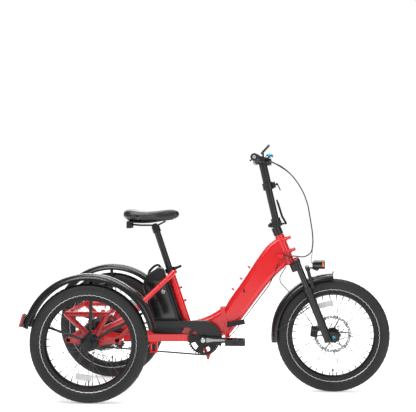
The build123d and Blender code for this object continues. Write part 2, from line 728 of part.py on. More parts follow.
def hinge_plate(side):
    """Plate at the frame's split. Side is 1 for the front frame and -1 for the rear."""
    low, high = HINGE_LOW_Z - 6, HINGE_HIGH_Z + 4
    g = side * HINGE_GAP / 2
    t = side * HINGE_PLATE_T
    outline = poly((split_x(low) + g, low), (split_x(high) + g, high), (split_x(high) + t, high),
                   (split_x(low) + t, low))
    return slab(outline, -38, HINGE_Y - FRAME_KNUCKLE_R - 1)


def knuckles(side):
    """Hinge knuckles on the left: the front frame has the middle one, the rear frame the outer two."""
    low, high = HINGE_LOW_Z + 2, HINGE_HIGH_Z - 4
    third = (high - low) / 3
    middle = [(low + third + 0.3, high - third - 0.3)]
    spans = middle if side > 0 else [(low, low + third - 0.3), (high - third + 0.3, high)]
    made = []
    face, far = side * HINGE_GAP / 2, HINGE_X + side * 80
    own_side = slab(poly((split_x(low) + face, low), (split_x(high) + face, high), (far, high), (far, low)),
                    0, HINGE_Y + 20)
    for z0, z1 in spans:
        barrel = rod((HINGE_X, HINGE_Y, z0), (HINGE_X, HINGE_Y, z1), FRAME_KNUCKLE_R)
        mid = (z0 + z1) / 2
        reach = side * (HINGE_PLATE_T + 12)
        web = Pos(HINGE_X + reach / 2 + side * 1.0, HINGE_Y - FRAME_KNUCKLE_R, mid) * Box(
            abs(reach) - 4, 2 * FRAME_KNUCKLE_R, z1 - z0)
        made.append(barrel + (web & own_side))
    return made


def front_frame():
    """Main tube from the folding joint to the head tube, with the front rack's bosses."""
    outer = lofted(FRONT_STATIONS)
    inner = lofted(FRONT_STATIONS, WALL)
    neck_top, neck_low = steer(6), steer(HEAD_LEN - 12)
    place, height, width = section(*FRONT_STATIONS[-1])
    end, end_height, end_width = section((neck_top[0] + 2, neck_top[2]), (neck_low[0] + 2, neck_low[2]), 38)
    neck = loft([place * RectangleRounded(width, height, 18),
                 end * RectangleRounded(end_width, end_height, 16)])
    made = (outer - inner) + neck + rod(steer(0), steer(HEAD_LEN), HEAD_R) + hinge_plate(1)
    for piece in knuckles(1):
        made += piece
    made += Pos(split_x(LATCH_Z) + LATCH_AHEAD, (LATCH_Y + LATCH_R + SEAT - 28) / 2, LATCH_Z - 3) * Box(
        22, -28 - (LATCH_Y + LATCH_R + SEAT), 24)
    made += Pos(*PORT) * Box(27, 28, 15)
    for down in FRONT_BOSS_AT:
        for side in (1, -1):
            y = side * FRONT_BOSS_Y
            made += rod(steer(down, 10, y), steer(down, HEAD_R + FRONT_BOSS_LEN, y), 7)
            made += bar(steer(down, 4, y * 0.8), steer(down, HEAD_R + 6, y * 0.8), 14, 18)
    made -= rod(steer(-1), steer(HEAD_LEN + 1), HEAD_BORE_R)
    for down in FRONT_BOSS_AT:
        for side in (1, -1):
            y = side * FRONT_BOSS_Y
            made -= rod(steer(down, HEAD_R + FRONT_BOSS_LEN - BOSS_DEPTH, y),
                        steer(down, HEAD_R + FRONT_BOSS_LEN + 1, y), BOSS_HOLE_R)
    return made - rod((HINGE_X, HINGE_Y, HINGE_LOW_Z - 30), (HINGE_X, HINGE_Y, HINGE_HIGH_Z + 30),
                      FRAME_PIN_R + RUN)


def headset_bearings():
    made = []
    for a, b in ((0.2, 14), (HEAD_LEN - 14, HEAD_LEN - 0.2)):
        made.append(rod(steer(a), steer(b), HEAD_BORE_R - RUN, STEERER_R + RUN))
    return group(*made)


def frame_latch():
    """Locking lever on the right of the folding joint, closed along the front tube."""
    x, y = split_x(LATCH_Z) + LATCH_AHEAD, LATCH_Y
    lever = rod((x, y, LATCH_Z - 16), (x, y, LATCH_Z + 10), LATCH_R)
    return lever + bar((x, y - 2, LATCH_Z - 3), (x + 74, y - 3, LATCH_Z + 10), 9, 23)


# ---- rear frame ----------------------------------------------------------------------------------
REAR_STATIONS = [
    ((split_x(388) - 10, 390), (split_x(266) - 10, 264), 66),
    ((534, 366), (548, 246), 64),
    ((474, 340), (470, 228), 60),
    ((396, 326), (396, 236), 56),
]
BEAM_FRONT = (430.0, 29.0, 252.5)
BEAM_REAR = (CARRIER_X + CARRIER_TUBE_R - 4, 96.0, 258.0)
STAY_POINTS = [(350.0, 15.0, 562.0), (321.0, 57.0, 532.0), (136.0, 150.0, 352.0),
               (14.0, OUTER_PLATE_Y - 22, 300.0)]


def rear_frame():
    """Seat tube, bottom bracket shell, hinge stub, lower beams, seat stays and the folding foot."""
    made = lofted(list(reversed(REAR_STATIONS))) - lofted(list(reversed(REAR_STATIONS)), WALL)
    made += rod(seat(-30), seat(SEAT_TUBE_LEN), SEAT_TUBE_R)
    made += across(CRANK_X, CRANK_Z, -BB_HALF, BB_HALF, BB_R)
    made += hinge_plate(-1)
    for piece in knuckles(-1):
        made += piece
    for side in (1, -1):
        front = (BEAM_FRONT[0], side * BEAM_FRONT[1], BEAM_FRONT[2])
        rear = (BEAM_REAR[0], side * BEAM_REAR[1], BEAM_REAR[2])
        made += bar(front, rear, BEAM_W, BEAM_H)
        made += swept([(x, side * y, z) for x, y, z in STAY_POINTS], STAY_R, 22)
    envelope = rod(seat(SEAT_TUBE_LEN - COLLAR_LEN - SEAT), seat(SEAT_TUBE_LEN + 20), SEAT_TUBE_R + 5 + SEAT)
    made = made - envelope + rod(seat(-30), seat(SEAT_TUBE_LEN), SEAT_TUBE_R)
    foot = rod((CRANK_X - 14, -16, CRANK_Z - 12), (CRANK_X + 20, -16, 155), 6)
    foot += rod((CRANK_X - 14, 16, CRANK_Z - 12), (CRANK_X + 20, 16, 155), 6)
    foot += rod((CRANK_X + 20, -22, 155), (CRANK_X + 20, 22, 155), 7)
    foot += rod((CRANK_X + 56, 0, CRANK_Z + 6), (CRANK_X + 20, 0, 155), 6)
    made += foot
    plate = slab(poly((240, 240), (276, 240), (276, 184), (240, 184)), -66, -60)
    plate -= slab(poly((249, 226), (267, 226), (267, 193), (249, 193)), -67, -59)
    made += plate
    for rise in CAGE_BOSS_UP:
        made += rod(seat(rise, SEAT_TUBE_R - 3), seat(rise, SEAT_TUBE_R + 7), 5.5)
    made -= rod(seat(-28), seat(SEAT_TUBE_LEN + 1), SEAT_POST_R + RUN)
    for rise in CAGE_BOSS_UP:
        made -= rod(seat(rise, SEAT_POST_R - 3), seat(rise, SEAT_TUBE_R + 8), BOSS_HOLE_R)
    made -= across(CRANK_X, CRANK_Z, -BB_HALF - 1, BB_HALF + 1, BB_BORE_R)
    made += rod((HINGE_X, HINGE_Y, HINGE_LOW_Z - 2), (HINGE_X, HINGE_Y, HINGE_HIGH_Z), FRAME_PIN_R)
    made += rod((HINGE_X, HINGE_Y, HINGE_HIGH_Z - 4), (HINGE_X, HINGE_Y, HINGE_HIGH_Z + 1), 9)
    made += Pos(split_x(LATCH_Z) - 8, -40, LATCH_Z - 4) * Box(9, 6, 22)
    made -= across(CARRIER_X, AXLE_Z, -OUTER_PLATE_Y, OUTER_PLATE_Y, CARRIER_TUBE_R)
    return made - axle_carrier()


def axle_carrier():
    """Ladder of two cross tubes and four bearing plates, with the rack rails braced above it."""
    cross_half = OUTER_PLATE_Y + PLATE_THICK / 2
    made = None
    for x in (CARRIER_X, -CARRIER_X):
        tube = across(x, AXLE_Z, -cross_half, cross_half, CARRIER_TUBE_R)
        made = tube if made is None else made + tube
    for side in (1, -1):
        for y in (INNER_PLATE_Y, OUTER_PLATE_Y):
            arms = poly((-CARRIER_X, AXLE_Z - 11), (0, AXLE_Z - 30), (CARRIER_X, AXLE_Z - 11),
                        (CARRIER_X, AXLE_Z + 11), (0, AXLE_Z + 30), (-CARRIER_X, AXLE_Z + 11))
            made += slab(arms, side * y - PLATE_THICK / 2, side * y + PLATE_THICK / 2)
        made += across(0, AXLE_Z, side * (INNER_PLATE_Y - 12), side * (INNER_PLATE_Y + 12), HOUSING_R)
        made += across(0, AXLE_Z, side * (OUTER_PLATE_Y - 14), side * HOUSING_END, HOUSING_R)
        y = side * OUTER_PLATE_Y
        corner_a, corner_c = (RAIL_REAR_X, y, RAIL_Z), (RAIL_FRONT_X, y, RAIL_Z)
        made += rod(corner_a, corner_c, RAIL_R)
        made += rod(corner_a, (-10, y, AXLE_Z + 16), RAIL_R)
        made += rod(corner_c, (12, y, AXLE_Z + 16), RAIL_R)
        for x in (RAIL_REAR_X, RAIL_FRONT_X):
            made += Pos(x, y, RAIL_Z) * Sphere(RAIL_R)
            boss_x = x + (22 if x < 0 else -22)
            made += rod((boss_x, y * 0.9, RAIL_Z), (boss_x, y * 0.9, RAIL_Z + RAIL_R + 4), 9)
    for x in (RAIL_REAR_X, RAIL_FRONT_X):
        made += rod((x, -OUTER_PLATE_Y, RAIL_Z), (x, OUTER_PLATE_Y, RAIL_Z), RAIL_R)
    for side in (1, -1):
        y = side * OUTER_PLATE_Y
        for x in (RAIL_REAR_X + 22, RAIL_FRONT_X - 22):
            made += Pos(x, y * 0.95, RAIL_Z) * Box(18, 30, 12)
            made -= rod((x, y * 0.9, RAIL_Z + RAIL_R + 4 - BOSS_DEPTH), (x, y * 0.9, RAIL_Z + RAIL_R + 5),
                        BOSS_HOLE_R)
    idler_z = idler_height()
    made += bar((CARRIER_X - 4, -INNER_PLATE_Y + 16, AXLE_Z - 2), (IDLER_X, CHAIN_Y - 12, idler_z), 8, 14)
    made += across(IDLER_X, idler_z, CHAIN_Y - 16, CHAIN_Y + 6, 4)
    made -= across(0, AXLE_Z, -300, 300, HALF_SHAFT_R + 1.5)
    for x in (CARRIER_X, -CARRIER_X):
        made -= across(x, AXLE_Z, -cross_half - 1, cross_half + 1, CARRIER_TUBE_R - WALL)
    for side in (1, -1):
        y = side * OUTER_PLATE_Y
        made -= rod((RAIL_REAR_X + 16, y, RAIL_Z), (RAIL_FRONT_X - 16, y, RAIL_Z), RAIL_R - WALL)
    for x in (RAIL_REAR_X, RAIL_FRONT_X):
        made -= rod((x, 16 - OUTER_PLATE_Y, RAIL_Z), (x, OUTER_PLATE_Y - 16, RAIL_Z), RAIL_R - WALL)
    for side in (1, -1):
        for y0, y1 in ((INNER_PLATE_Y - 13, INNER_PLATE_Y - 13 + BEARING_T),
                       (HOUSING_END - BEARING_T, HOUSING_END + 1)):
            made -= across(0, AXLE_Z, side * y0, side * y1, BEARING_R)
    return made


def axle_bearings():
    """Ball bearings of the two half shafts, and the bottom bracket's two cups."""
    made = []
    for side in (1, -1):
        for y0 in (INNER_PLATE_Y - 12.8, HOUSING_END - BEARING_T + 0.2):
            made.append(across(0, AXLE_Z, side * y0, side * (y0 + BEARING_T - 0.4),
                               BEARING_R - RUN, HALF_SHAFT_R + RUN))
        made.append(across(CRANK_X, CRANK_Z, side * (BB_HALF - 12), side * BB_HALF,
                           BB_BORE_R - RUN, SPINDLE_R + RUN))
    return group(*made)


def motor_housing():
    """Motor and differential drum between the two brackets that hang it on the cross tubes."""
    bore, face, half = CARRIER_SHAFT_R + RUN, MOTOR_R - 14, MOTOR_HALF
    drum = turned((bore, -half), (face, -half), (MOTOR_R, -half + 12), (MOTOR_R, half - 12), (face, half),
                  (bore, half))
    drum = Pos(0, 0, AXLE_Z) * drum
    for sign in (1, -1):
        edge = CARRIER_X - CARRIER_TUBE_R - SEAT
        drum += Pos(sign * ((MOTOR_R + edge) / 2 - 4), 0, AXLE_Z) * Box(edge - MOTOR_R + 8, 34, 26)
    hollow = across(0, AXLE_Z, -MOTOR_HALF + MOTOR_WALL, MOTOR_HALF - MOTOR_WALL, MOTOR_R - MOTOR_WALL)
    return drum - (hollow - across(0, AXLE_Z, -MOTOR_HALF, MOTOR_HALF, CARRIER_SHAFT_R + MOTOR_WALL))


def sprocket(teeth, thickness, bore, windows=0, hub_r=0.0):
    """Toothed plate in the chain's plane, drawn about the origin with its axis along Y."""
    r = pitch_radius(teeth)
    face = Circle(r + 2.6)
    for k in range(teeth):
        face -= Rot(0, 0, (k + 0.5) * 360 / teeth) * (Pos(r, 0) * Circle(ROLLER_R))
    for k in range(windows):
        gap = (Circle(r - 12) - Circle(bore + 14)) & (
            Rot(0, 0, k * 360 / windows)
            * make_face(Polyline((0, 0), (r * 2, -r * 0.62), (r * 2, r * 0.62), close=True))
        )
        face -= gap
    face -= Circle(bore)
    return Pos(0, thickness / 2, 0) * (Rot(90, 0, 0) * extrude(face, amount=thickness))


def rear_sprocket():
    """Sprocket on the hollow carrier shaft of the differential."""
    plate = Pos(0, CHAIN_Y, AXLE_Z) * sprocket(SPROCKET_TEETH, TOOTH_T, CARRIER_SHAFT_R - 2)
    shaft = across(0, AXLE_Z, CHAIN_Y - 8, REAR_DISC_Y + 8, CARRIER_SHAFT_R, HALF_SHAFT_R + 0.6)
    collar = across(0, AXLE_Z, CHAIN_Y + 1, -MOTOR_HALF - 0.5, 24, HALF_SHAFT_R + 0.6)
    return plate + shaft + collar


def rear_disc():
    return Pos(0, 0, AXLE_Z) * brake_disc(REAR_DISC_R, REAR_DISC_Y, CARRIER_SHAFT_R + RUN)


def rear_caliper():
    reach = REAR_DISC_R - 10
    turn = 205.0
    x, z = reach * cos(radians(turn)), AXLE_Z + reach * sin(radians(turn))
    made = caliper(x - 4, z - 2, -25.0, REAR_DISC_Y, 22, 46, 34)
    out = INNER_PLATE_Y - PLATE_THICK / 2 - SEAT
    return made + Pos(x - 6, (REAR_DISC_Y + 8 + out) / 2, z + 18) * Box(22, out - REAR_DISC_Y - 8, 26)


def lower_run_z(x):
    """Height of the chain's lower run on the pitch line."""
    return lower_tangent()[1] + (x - lower_tangent()[0]) * lower_tangent()[2]


def lower_tangent():
    """A point on the lower run and its slope."""
    rise = CRANK_Z - AXLE_Z
    span = hypot(CRANK_X, rise)
    tilt = atan2(rise, CRANK_X) - asin((RING_R - SPROCKET_R) / span)
    return (SPROCKET_R * sin(tilt), AXLE_Z - SPROCKET_R * cos(tilt), tan(tilt))


def idler_height():
    return lower_run_z(IDLER_X) + IDLER_R / cos(atan2(lower_tangent()[2], 1))


def belt_outline(grow):
    """Closed loop round the sprocket and the chainring, grown from the pitch line."""
    small, large = SPROCKET_R + grow, RING_R + grow
    rise = CRANK_Z - AXLE_Z
    span = hypot(CRANK_X, rise)
    base = atan2(rise, CRANK_X)
    lean = asin((RING_R - SPROCKET_R) / span)
    up, down = base + lean + pi / 2, base - lean - pi / 2
    at = lambda cx, cz, r, a: (cx + r * cos(a), cz + r * sin(a))
    top_small, top_large = at(0, AXLE_Z, small, up), at(CRANK_X, CRANK_Z, large, up)
    low_small, low_large = at(0, AXLE_Z, small, down), at(CRANK_X, CRANK_Z, large, down)
    edges = [
        Line(top_small, top_large),
        ThreePointArc(top_large, at(CRANK_X, CRANK_Z, large, base), low_large),
        Line(low_large, low_small),
        ThreePointArc(low_small, at(0, AXLE_Z, small, base + pi), top_small),
    ]
    return make_face(Wire([e for x in edges for e in x.edges()]))


def chain():
    """The chain's two rows of side plates, each as one endless band."""
    band = belt_outline(LINK_HALF_H) - belt_outline(-LINK_HALF_H)
    made = slab(band, CHAIN_Y + LINK_IN, CHAIN_Y + LINK_OUT)
    made += slab(band, CHAIN_Y - LINK_OUT, CHAIN_Y - LINK_IN)
    for x in range(110, 400, 24):
        if abs(x - IDLER_X) > 40:
            made += across(x, lower_run_z(x), CHAIN_Y - LINK_IN, CHAIN_Y + LINK_IN, ROLLER_R - 1)
    return made


def tension_wheel():
    return Pos(IDLER_X, CHAIN_Y, idler_height()) * sprocket(IDLER_TEETH, TOOTH_T + 0.6, 4 + RUN)


def crank_arms():
    """Spindle, both crank arms and the pedal axles."""
    made = across(CRANK_X, CRANK_Z, -ARM_IN_Y - 4, ARM_IN_Y + 4, SPINDLE_R)
    for side in (1, -1):
        end = CRANK_X - side * CRANK_LEN
        y0, y1 = side * ARM_IN_Y, side * ARM_OUT_Y
        low, high = min(y0, y1), max(y0, y1)
        arm = slab(poly((CRANK_X, CRANK_Z - 15), (end, CRANK_Z - 11), (end, CRANK_Z + 11),
                        (CRANK_X, CRANK_Z + 15)), low, high)
        arm += across(CRANK_X, CRANK_Z, low, high, 18) + across(end, CRANK_Z, low, high, 13)
        made += arm
        made += across(end, CRANK_Z, y1, side * (ARM_OUT_Y + 14 + PEDAL_Y), PEDAL_AXLE_R)
    made += across(CRANK_X, CRANK_Z, CHAIN_Y - TOOTH_T / 2 - 6, CHAIN_Y - TOOTH_T / 2 - 0.3,
                   40, SPINDLE_R - 1)
    made += across(CRANK_X, CRANK_Z, -ARM_IN_Y, CHAIN_Y - TOOTH_T / 2 - 5, 22, SPINDLE_R - 1)
    return made


def chainring():
    return Pos(CRANK_X, CHAIN_Y, CRANK_Z) * sprocket(RING_TEETH, TOOTH_T, 26.0, windows=5)


def pedal(side):
    """Platform pedal with open windows fore and aft of its axle."""
    end = CRANK_X - side * CRANK_LEN
    y = side * (ARM_OUT_Y + 8 + PEDAL_Y / 2)
    body = fillet(Box(PEDAL_X, PEDAL_Y, PEDAL_Z).edges().filter_by(Axis.Z), 9)
    for s in (1, -1):
        body -= Pos(s * 26, 0, 0) * Box(24, PEDAL_Y - 22, PEDAL_Z + 2)
        body += Pos(s * 26, 0, 0) * Box(24.5, 8, 12)
    body -= rod((0, -60, 0), (0, 60, 0), PEDAL_AXLE_R + RUN)
    return Pos(end, y, CRANK_Z) * body


def chain_guard():
    """Plastic cover over the chain's upper run and the top of the chainring."""
    def outline(shrink):
        disc = Pos(CRANK_X, CRANK_Z) * Circle(GUARD_R - shrink)
        rise = 200 * tan(radians(GUARD_CUT))
        keep = poly((CRANK_X - 200, CRANK_Z + 16 + rise), (CRANK_X + 200, CRANK_Z + 16 - rise),
                    (CRANK_X + 200, 500), (CRANK_X - 200, 500))
        tail = poly((236 + shrink, 304 + shrink), (236 + shrink, 333 - shrink),
                    (CRANK_X, CRANK_Z + GUARD_R - shrink), (CRANK_X, 304 + shrink))
        return (disc & keep) + tail
    plate = slab(outline(0), GUARD_OUT_Y, GUARD_OUT_Y + GUARD_T)
    wall = slab(outline(0), GUARD_OUT_Y, GUARD_IN_Y)
    wall -= slab(outline(GUARD_T), GUARD_OUT_Y - 1, GUARD_IN_Y + 1)
    open_back = slab(poly((230, 300), (245, 300), (245, 330), (230, 330)),
                     GUARD_OUT_Y + GUARD_T, GUARD_IN_Y + 1)
    made = plate + (wall - open_back)
    return made - across(CRANK_X, CRANK_Z, GUARD_OUT_Y - 1, GUARD_IN_Y, 24)


# ---- seat ----------------------------------------------------------------------------------------
def seat_collar():
    top = SEAT_TUBE_LEN
    ring = rod(seat(top - COLLAR_LEN), seat(top + 4), SEAT_TUBE_R + 5)
    ring -= rod(seat(top - 17), seat(top), SEAT_TUBE_R + RUN)
    ring -= rod(seat(top - 1), seat(top + 5), SEAT_POST_R + 0.4)
    ears = bar(seat(top - 6, SEAT_TUBE_R + 3), seat(top - 6, SEAT_TUBE_R + 16), 20, 14)
    ears -= bar(seat(top - 6, SEAT_TUBE_R + 2), seat(top - 6, SEAT_TUBE_R + 18), 2, 16)
    return ring + (ears - rod(seat(top - 20), seat(top + 8), SEAT_TUBE_R + RUN))


def seat_lever():
    top = SEAT_TUBE_LEN
    made = rod(seat(top - 12, SEAT_TUBE_R + 9, -17), seat(top, SEAT_TUBE_R + 9, -17), 6.5)
    return made + bar(seat(top - 6, SEAT_TUBE_R + 10, -18), seat(top - 4, SEAT_TUBE_R + 42, -20), 6, 12)


SADDLE_REAR_X, SADDLE_NOSE_X = 112.0, 372.0
POST_TOP = 470.0
POST_INSERT = 115.0


def seat_post():
    return rod(seat(SEAT_TUBE_LEN - POST_INSERT), seat(POST_TOP - 14), SEAT_POST_R)


def saddle_rails():
    """Two steel rails and the clamp that holds them on the post."""
    px, _, pz = seat(POST_TOP)
    head = rod((px, -27, pz), (px, 27, pz), 14) + rod(seat(POST_TOP - 30), seat(POST_TOP), SEAT_POST_R + 4)
    head -= rod(seat(POST_TOP - 31), seat(POST_TOP - 13.7), SEAT_POST_R + RUN)
    for side in (1, -1):
        pts = [(SADDLE_REAR_X + 32.2, side * 22, 786), (px - 70, side * 22, pz + 5),
               (px + 12, side * 22, pz + 5),
               (SADDLE_NOSE_X - 66, side * 12, 800.5)]
        head += swept(pts, 3.6, 14)
    return head


def across_section(x, width, z, height, share):
    """Rounded rectangle standing square to X."""
    return Plane(origin=(x, 0, z), x_dir=(0, 1, 0), z_dir=(1, 0, 0)) * RectangleRounded(
        width, height, min(width, height) * share)


def saddle_cover():
    """Padded cover: wide tail, narrow nose, dipped in the middle."""
    stations = [
        (SADDLE_REAR_X, 120, 836, 26), (SADDLE_REAR_X + 26, 190, 832, 54),
        (SADDLE_REAR_X + 80, 186, 826, 46), (SADDLE_REAR_X + 140, 110, 827, 44),
        (SADDLE_NOSE_X - 60, 64, 837, 44), (SADDLE_NOSE_X - 18, 50, 838, 38),
        (SADDLE_NOSE_X, 30, 836, 20),
    ]
    return loft([across_section(*station, 0.45) for station in stations])


def saddle_frame():
    """Moulded base under the cover, with the two rubber springs at its tail."""
    stations = [
        (SADDLE_REAR_X + 18, 110, 798.7), (SADDLE_REAR_X + 60, 140, 798.2), (SADDLE_REAR_X + 140, 80, 799.7),
        (SADDLE_NOSE_X - 60, 44, 809.7), (SADDLE_NOSE_X - 30, 34, 812.5),
    ]
    made = loft([across_section(x, w, z, 8, 0.4) for x, w, z in stations])
    spring_x = SADDLE_REAR_X + 26
    for side in (1, -1):
        made += rod((spring_x, side * 36, 769), (spring_x, side * 36, 797), 12)
    return made + rod((spring_x, -36, 780), (spring_x, 36, 780), 5)


# ---- battery -------------------------------------------------------------------------------------
def battery():
    """Removable battery that stands behind the seat tube, leaning with it."""
    foot_z, head_z = DOCK_HIGH_Z + SEAT, 575.0
    back = SEAT_TUBE_R + RAIL_T + 3 * SEAT
    face = lambda z: SEAT_TUBE_FOOT_X - (z - SEAT_TUBE_FOOT_Z) * tan(radians(SEAT_LEAN)) - back / cos(
        radians(SEAT_LEAN))
    outline = poly((face(foot_z), foot_z), (face(head_z), head_z), (279, 587), (217, 546), (201, 500),
                   (255, foot_z))
    made = slab(outline, -BATTERY_HALF_W, BATTERY_HALF_W)
    made = fillet(made.edges().filter_by(Axis.Y, reverse=True), 7)
    return made


def battery_dock():
    """Controller box that the battery plugs down onto."""
    outline = poly((238, DOCK_LOW_Z + 20), (256, DOCK_LOW_Z), (384, DOCK_LOW_Z), (395.7, DOCK_LOW_Z + 14),
                   (384, DOCK_HIGH_Z), (238, DOCK_HIGH_Z))
    box = slab(outline, -DOCK_HALF_W, DOCK_HALF_W)
    out = SEAT_TUBE_R + SEAT + RAIL_T / 2
    rail = bar(seat(4, -out), seat(SEAT_TUBE_LEN - 30, -out), 26, RAIL_T)
    return group(box, rail)


# ---- mudguards and lights ------------------------------------------------------------------------
MUDGUARD_CENTRE = (4.0, HALF_TRACK, AXLE_Z + 8)


def rear_mudguards():
    return both(mudguard(GUARD_RADIUS, 12, 168, MUDGUARD_CENTRE))


def rim_point(angle, radius):
    turn = radians(angle)
    return (MUDGUARD_CENTRE[0] + radius * cos(turn), MUDGUARD_CENTRE[2] + radius * sin(turn))


def mudguard_stays():
    """Flat stays from a ring on each bearing housing out to the mudguard's inner skirt."""
    y1 = HALF_TRACK - MUDGUARD_HALF_W - SEAT
    y0 = y1 - 5
    ring = across(0, AXLE_Z, y0, y1, 40, HOUSING_R - 8)
    ring += across(0, AXLE_Z, HOUSING_END + SEAT, y0 + 1, HOUSING_R, HOUSING_R - 8)
    for angle, wide in ((163, 11), (90, 14), (28, 11)):
        x, z = rim_point(angle, GUARD_RADIUS - MUDGUARD_DROP + 9)
        start = (24 * cos(radians(angle)), y0 + 2.5, AXLE_Z + 24 * sin(radians(angle)))
        ring += bar(start, (x, y0 + 2.5, z), 5, wide)
    return both(ring)


def tail_lights():
    angle = 163.0
    lights = []
    place = Rot(0, -angle, 0)
    cx, cz = MUDGUARD_CENTRE[0], MUDGUARD_CENTRE[2]
    housing = Pos(GUARD_RADIUS + 4.5, 0, 0) * Box(8, 44, 54)
    lens = Pos(GUARD_RADIUS + 12.9, 0, 0) * Box(8, 48, 58)
    made = group(Pos(cx, HALF_TRACK, cz) * (place * housing), Pos(cx, HALF_TRACK, cz) * (place * lens))
    return both(made)


# ---- control cables ------------------------------------------------------------------------------
TRUNK = [(897, 1029), (935, 982), (963, 931), (981, 879), (993, 809), (1002, 753), (1005, 701),
         (998, 655), (963, 634), (925, 640), (865.3, 640)]
TRUNK_Y = (-28.5, -35.0, -41.5)
UPPER_TIE, LOWER_TIE = 3, 6  # each tie sits half way along the run that ends at this trunk point


def cable(points):
    """Straight runs joined by arcs, each as wide as the shorter run beside it allows."""
    runs = [Vector(*b) - Vector(*a) for a, b in zip(points, points[1:])]
    bends = [0.45 * min(a.length, b.length) / tan(radians(a.get_angle(b)) / 2)
             for a, b in zip(runs, runs[1:])]
    path = FilletPolyline(*points, radius=bends)
    return sweep(Plane(origin=points[0], z_dir=runs[0]) * Circle(CABLE_R), path=path)


def control_cables():
    """Three cables from the levers and the bar clamp to the frame, parted at their two ties."""
    lever_x, _, lever_z = lever_pivot(1)
    inner = LEVER_Y - 30 - 1.7
    clamp_x, _, clamp_z = post(BAR_AT, 22 + 1.8)
    starts = (
        [(lever_x - 6, inner, lever_z + 2), (795, 105, lever_z + 7), (852, 8, 1066)],
        [(clamp_x, -12, clamp_z), (845, -27, 1064)],
        [(lever_x - 6, -inner, lever_z + 2), (795, -112, lever_z + 4), (850, -58, 1062)],
    )
    upper, middle, lower = [], [], []
    for y, start in zip(TRUNK_Y, starts):
        trunk = [(x, y, z) for x, z in TRUNK]
        mid = lambda k: tuple((Vector(*trunk[k - 1]) + Vector(*trunk[k])) / 2)
        upper.append(cable([*start, *trunk[:UPPER_TIE], mid(UPPER_TIE)]))
        middle.append(cable([mid(UPPER_TIE), *trunk[UPPER_TIE:LOWER_TIE], mid(LOWER_TIE)]))
        lower.append(cable([mid(LOWER_TIE), *trunk[LOWER_TIE:]]))
    return {"cables_upper": group(*upper), "cables_middle": group(*middle), "cables_lower": group(*lower)}


# ---- write every piece ---------------------------------------------------------------------------
def pieces():
    made = {}
    made.update(front_wheel())
    made.update(rear_wheel(-1))
    made.update(rear_wheel(1))
    made["fork_crown"] = fork_crown()
    made["fork_lowers"] = fork_lowers()
    made["front_caliper"] = front_caliper()
    made["front_mudguard"] = front_mudguard()
    made["headlight"] = headlight()
    made["stem_base"] = bored_for_pin(stem_base())
    made["stem_latch_lever"] = stem_latch()
    made["handlepost"] = handlepost()
    made["upper_post"] = upper_post()
    made["post_clamp_lever"] = post_clamp_lever()
    made["handlebar"] = handlebar()
    made["grips"] = grips()
    made["bar_controls"] = group(lever_clamps(), throttle())
    made["brake_lever_right"] = brake_lever(-1)
    made["brake_lever_left"] = brake_lever(1)
    made["display"] = display()
    made.update(control_cables())
    made["front_frame"] = front_frame()
    made["headset_bearings"] = headset_bearings()
    made["frame_latch_lever"] = frame_latch()
    made["rear_frame"] = rear_frame()
    made["axle_carrier"] = axle_carrier()
    made["axle_bearings"] = axle_bearings()
    made["motor_housing"] = motor_housing()
    made["seat_collar"] = seat_collar()
    made["seat_collar_lever"] = seat_lever()
    made["battery_dock"] = battery_dock()
    made["battery"] = battery()
    made["chain"] = chain()
    made["chain_guard"] = chain_guard()
    made["rear_caliper"] = rear_caliper()
    made["rear_mudguards"] = rear_mudguards()
    made["mudguard_stays"] = mudguard_stays()
    made["tail_lights"] = tail_lights()
    made["rear_sprocket"] = rear_sprocket()
    made["rear_brake_disc"] = rear_disc()
    made["tension_wheel"] = tension_wheel()
    made["crank_arms"] = crank_arms()
    made["chainring"] = chainring()
    made["pedal_right"] = pedal(-1)
    made["pedal_left"] = pedal(1)
    made["seat_post"] = seat_post()
    made["saddle_rails"] = saddle_rails()
    made["saddle_frame"] = saddle_frame()
    made["saddle_cover"] = saddle_cover()
    return made


if __name__ == "__main__":
    os.makedirs("parts", exist_ok=True)
    for name, shape in pieces().items():
        export_step(Pos(-MID_X, 0, 0) * group(shape), f"parts/{name}.step")
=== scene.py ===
import bpy
import numpy as np
from math import atan2, asin, cos, hypot, pi, radians, sin, tan
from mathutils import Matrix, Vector


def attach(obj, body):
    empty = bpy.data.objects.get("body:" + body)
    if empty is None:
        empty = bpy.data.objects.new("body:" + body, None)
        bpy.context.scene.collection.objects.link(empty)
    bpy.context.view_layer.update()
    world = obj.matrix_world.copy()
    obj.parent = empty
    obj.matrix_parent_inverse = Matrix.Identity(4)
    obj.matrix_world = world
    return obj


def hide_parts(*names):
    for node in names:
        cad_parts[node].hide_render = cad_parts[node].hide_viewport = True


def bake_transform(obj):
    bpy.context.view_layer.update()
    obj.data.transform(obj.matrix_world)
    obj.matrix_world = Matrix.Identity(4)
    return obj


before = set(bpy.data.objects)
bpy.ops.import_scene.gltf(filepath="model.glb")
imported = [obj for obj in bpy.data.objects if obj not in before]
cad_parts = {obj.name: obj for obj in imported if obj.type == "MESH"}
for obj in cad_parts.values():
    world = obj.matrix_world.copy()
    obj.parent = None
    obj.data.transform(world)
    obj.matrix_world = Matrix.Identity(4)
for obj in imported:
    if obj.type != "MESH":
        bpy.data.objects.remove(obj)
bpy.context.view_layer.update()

# Sizes below are in millimetres from the rear axle and the floor, as in the CAD; mm() turns them into
# metres from the middle of the tricycle.
WHEELBASE, HALF_TRACK, AXLE_Z = 1100.0, 350.0, 266.0
TYRE_R, REAR_REACH = 266.0, 311.4
MID_X = (WHEELBASE + TYRE_R - REAR_REACH) / 2
PITCH, CHAIN_Y = 12.7, -50.0
RING_TEETH, SPROCKET_TEETH = 36, 28
CRANK_X, CRANK_Z, CRANK_LEN, ARM_Y = 492.0, 248.0, 152.0, 84.0
STEER_LEAN, POST_LEAN, SEAT_LEAN = 22.0, 13.0, 18.6
SEAT_FOOT_X, SEAT_FOOT_Z = 409.0, 332.0
BAR_RISE = 306.0


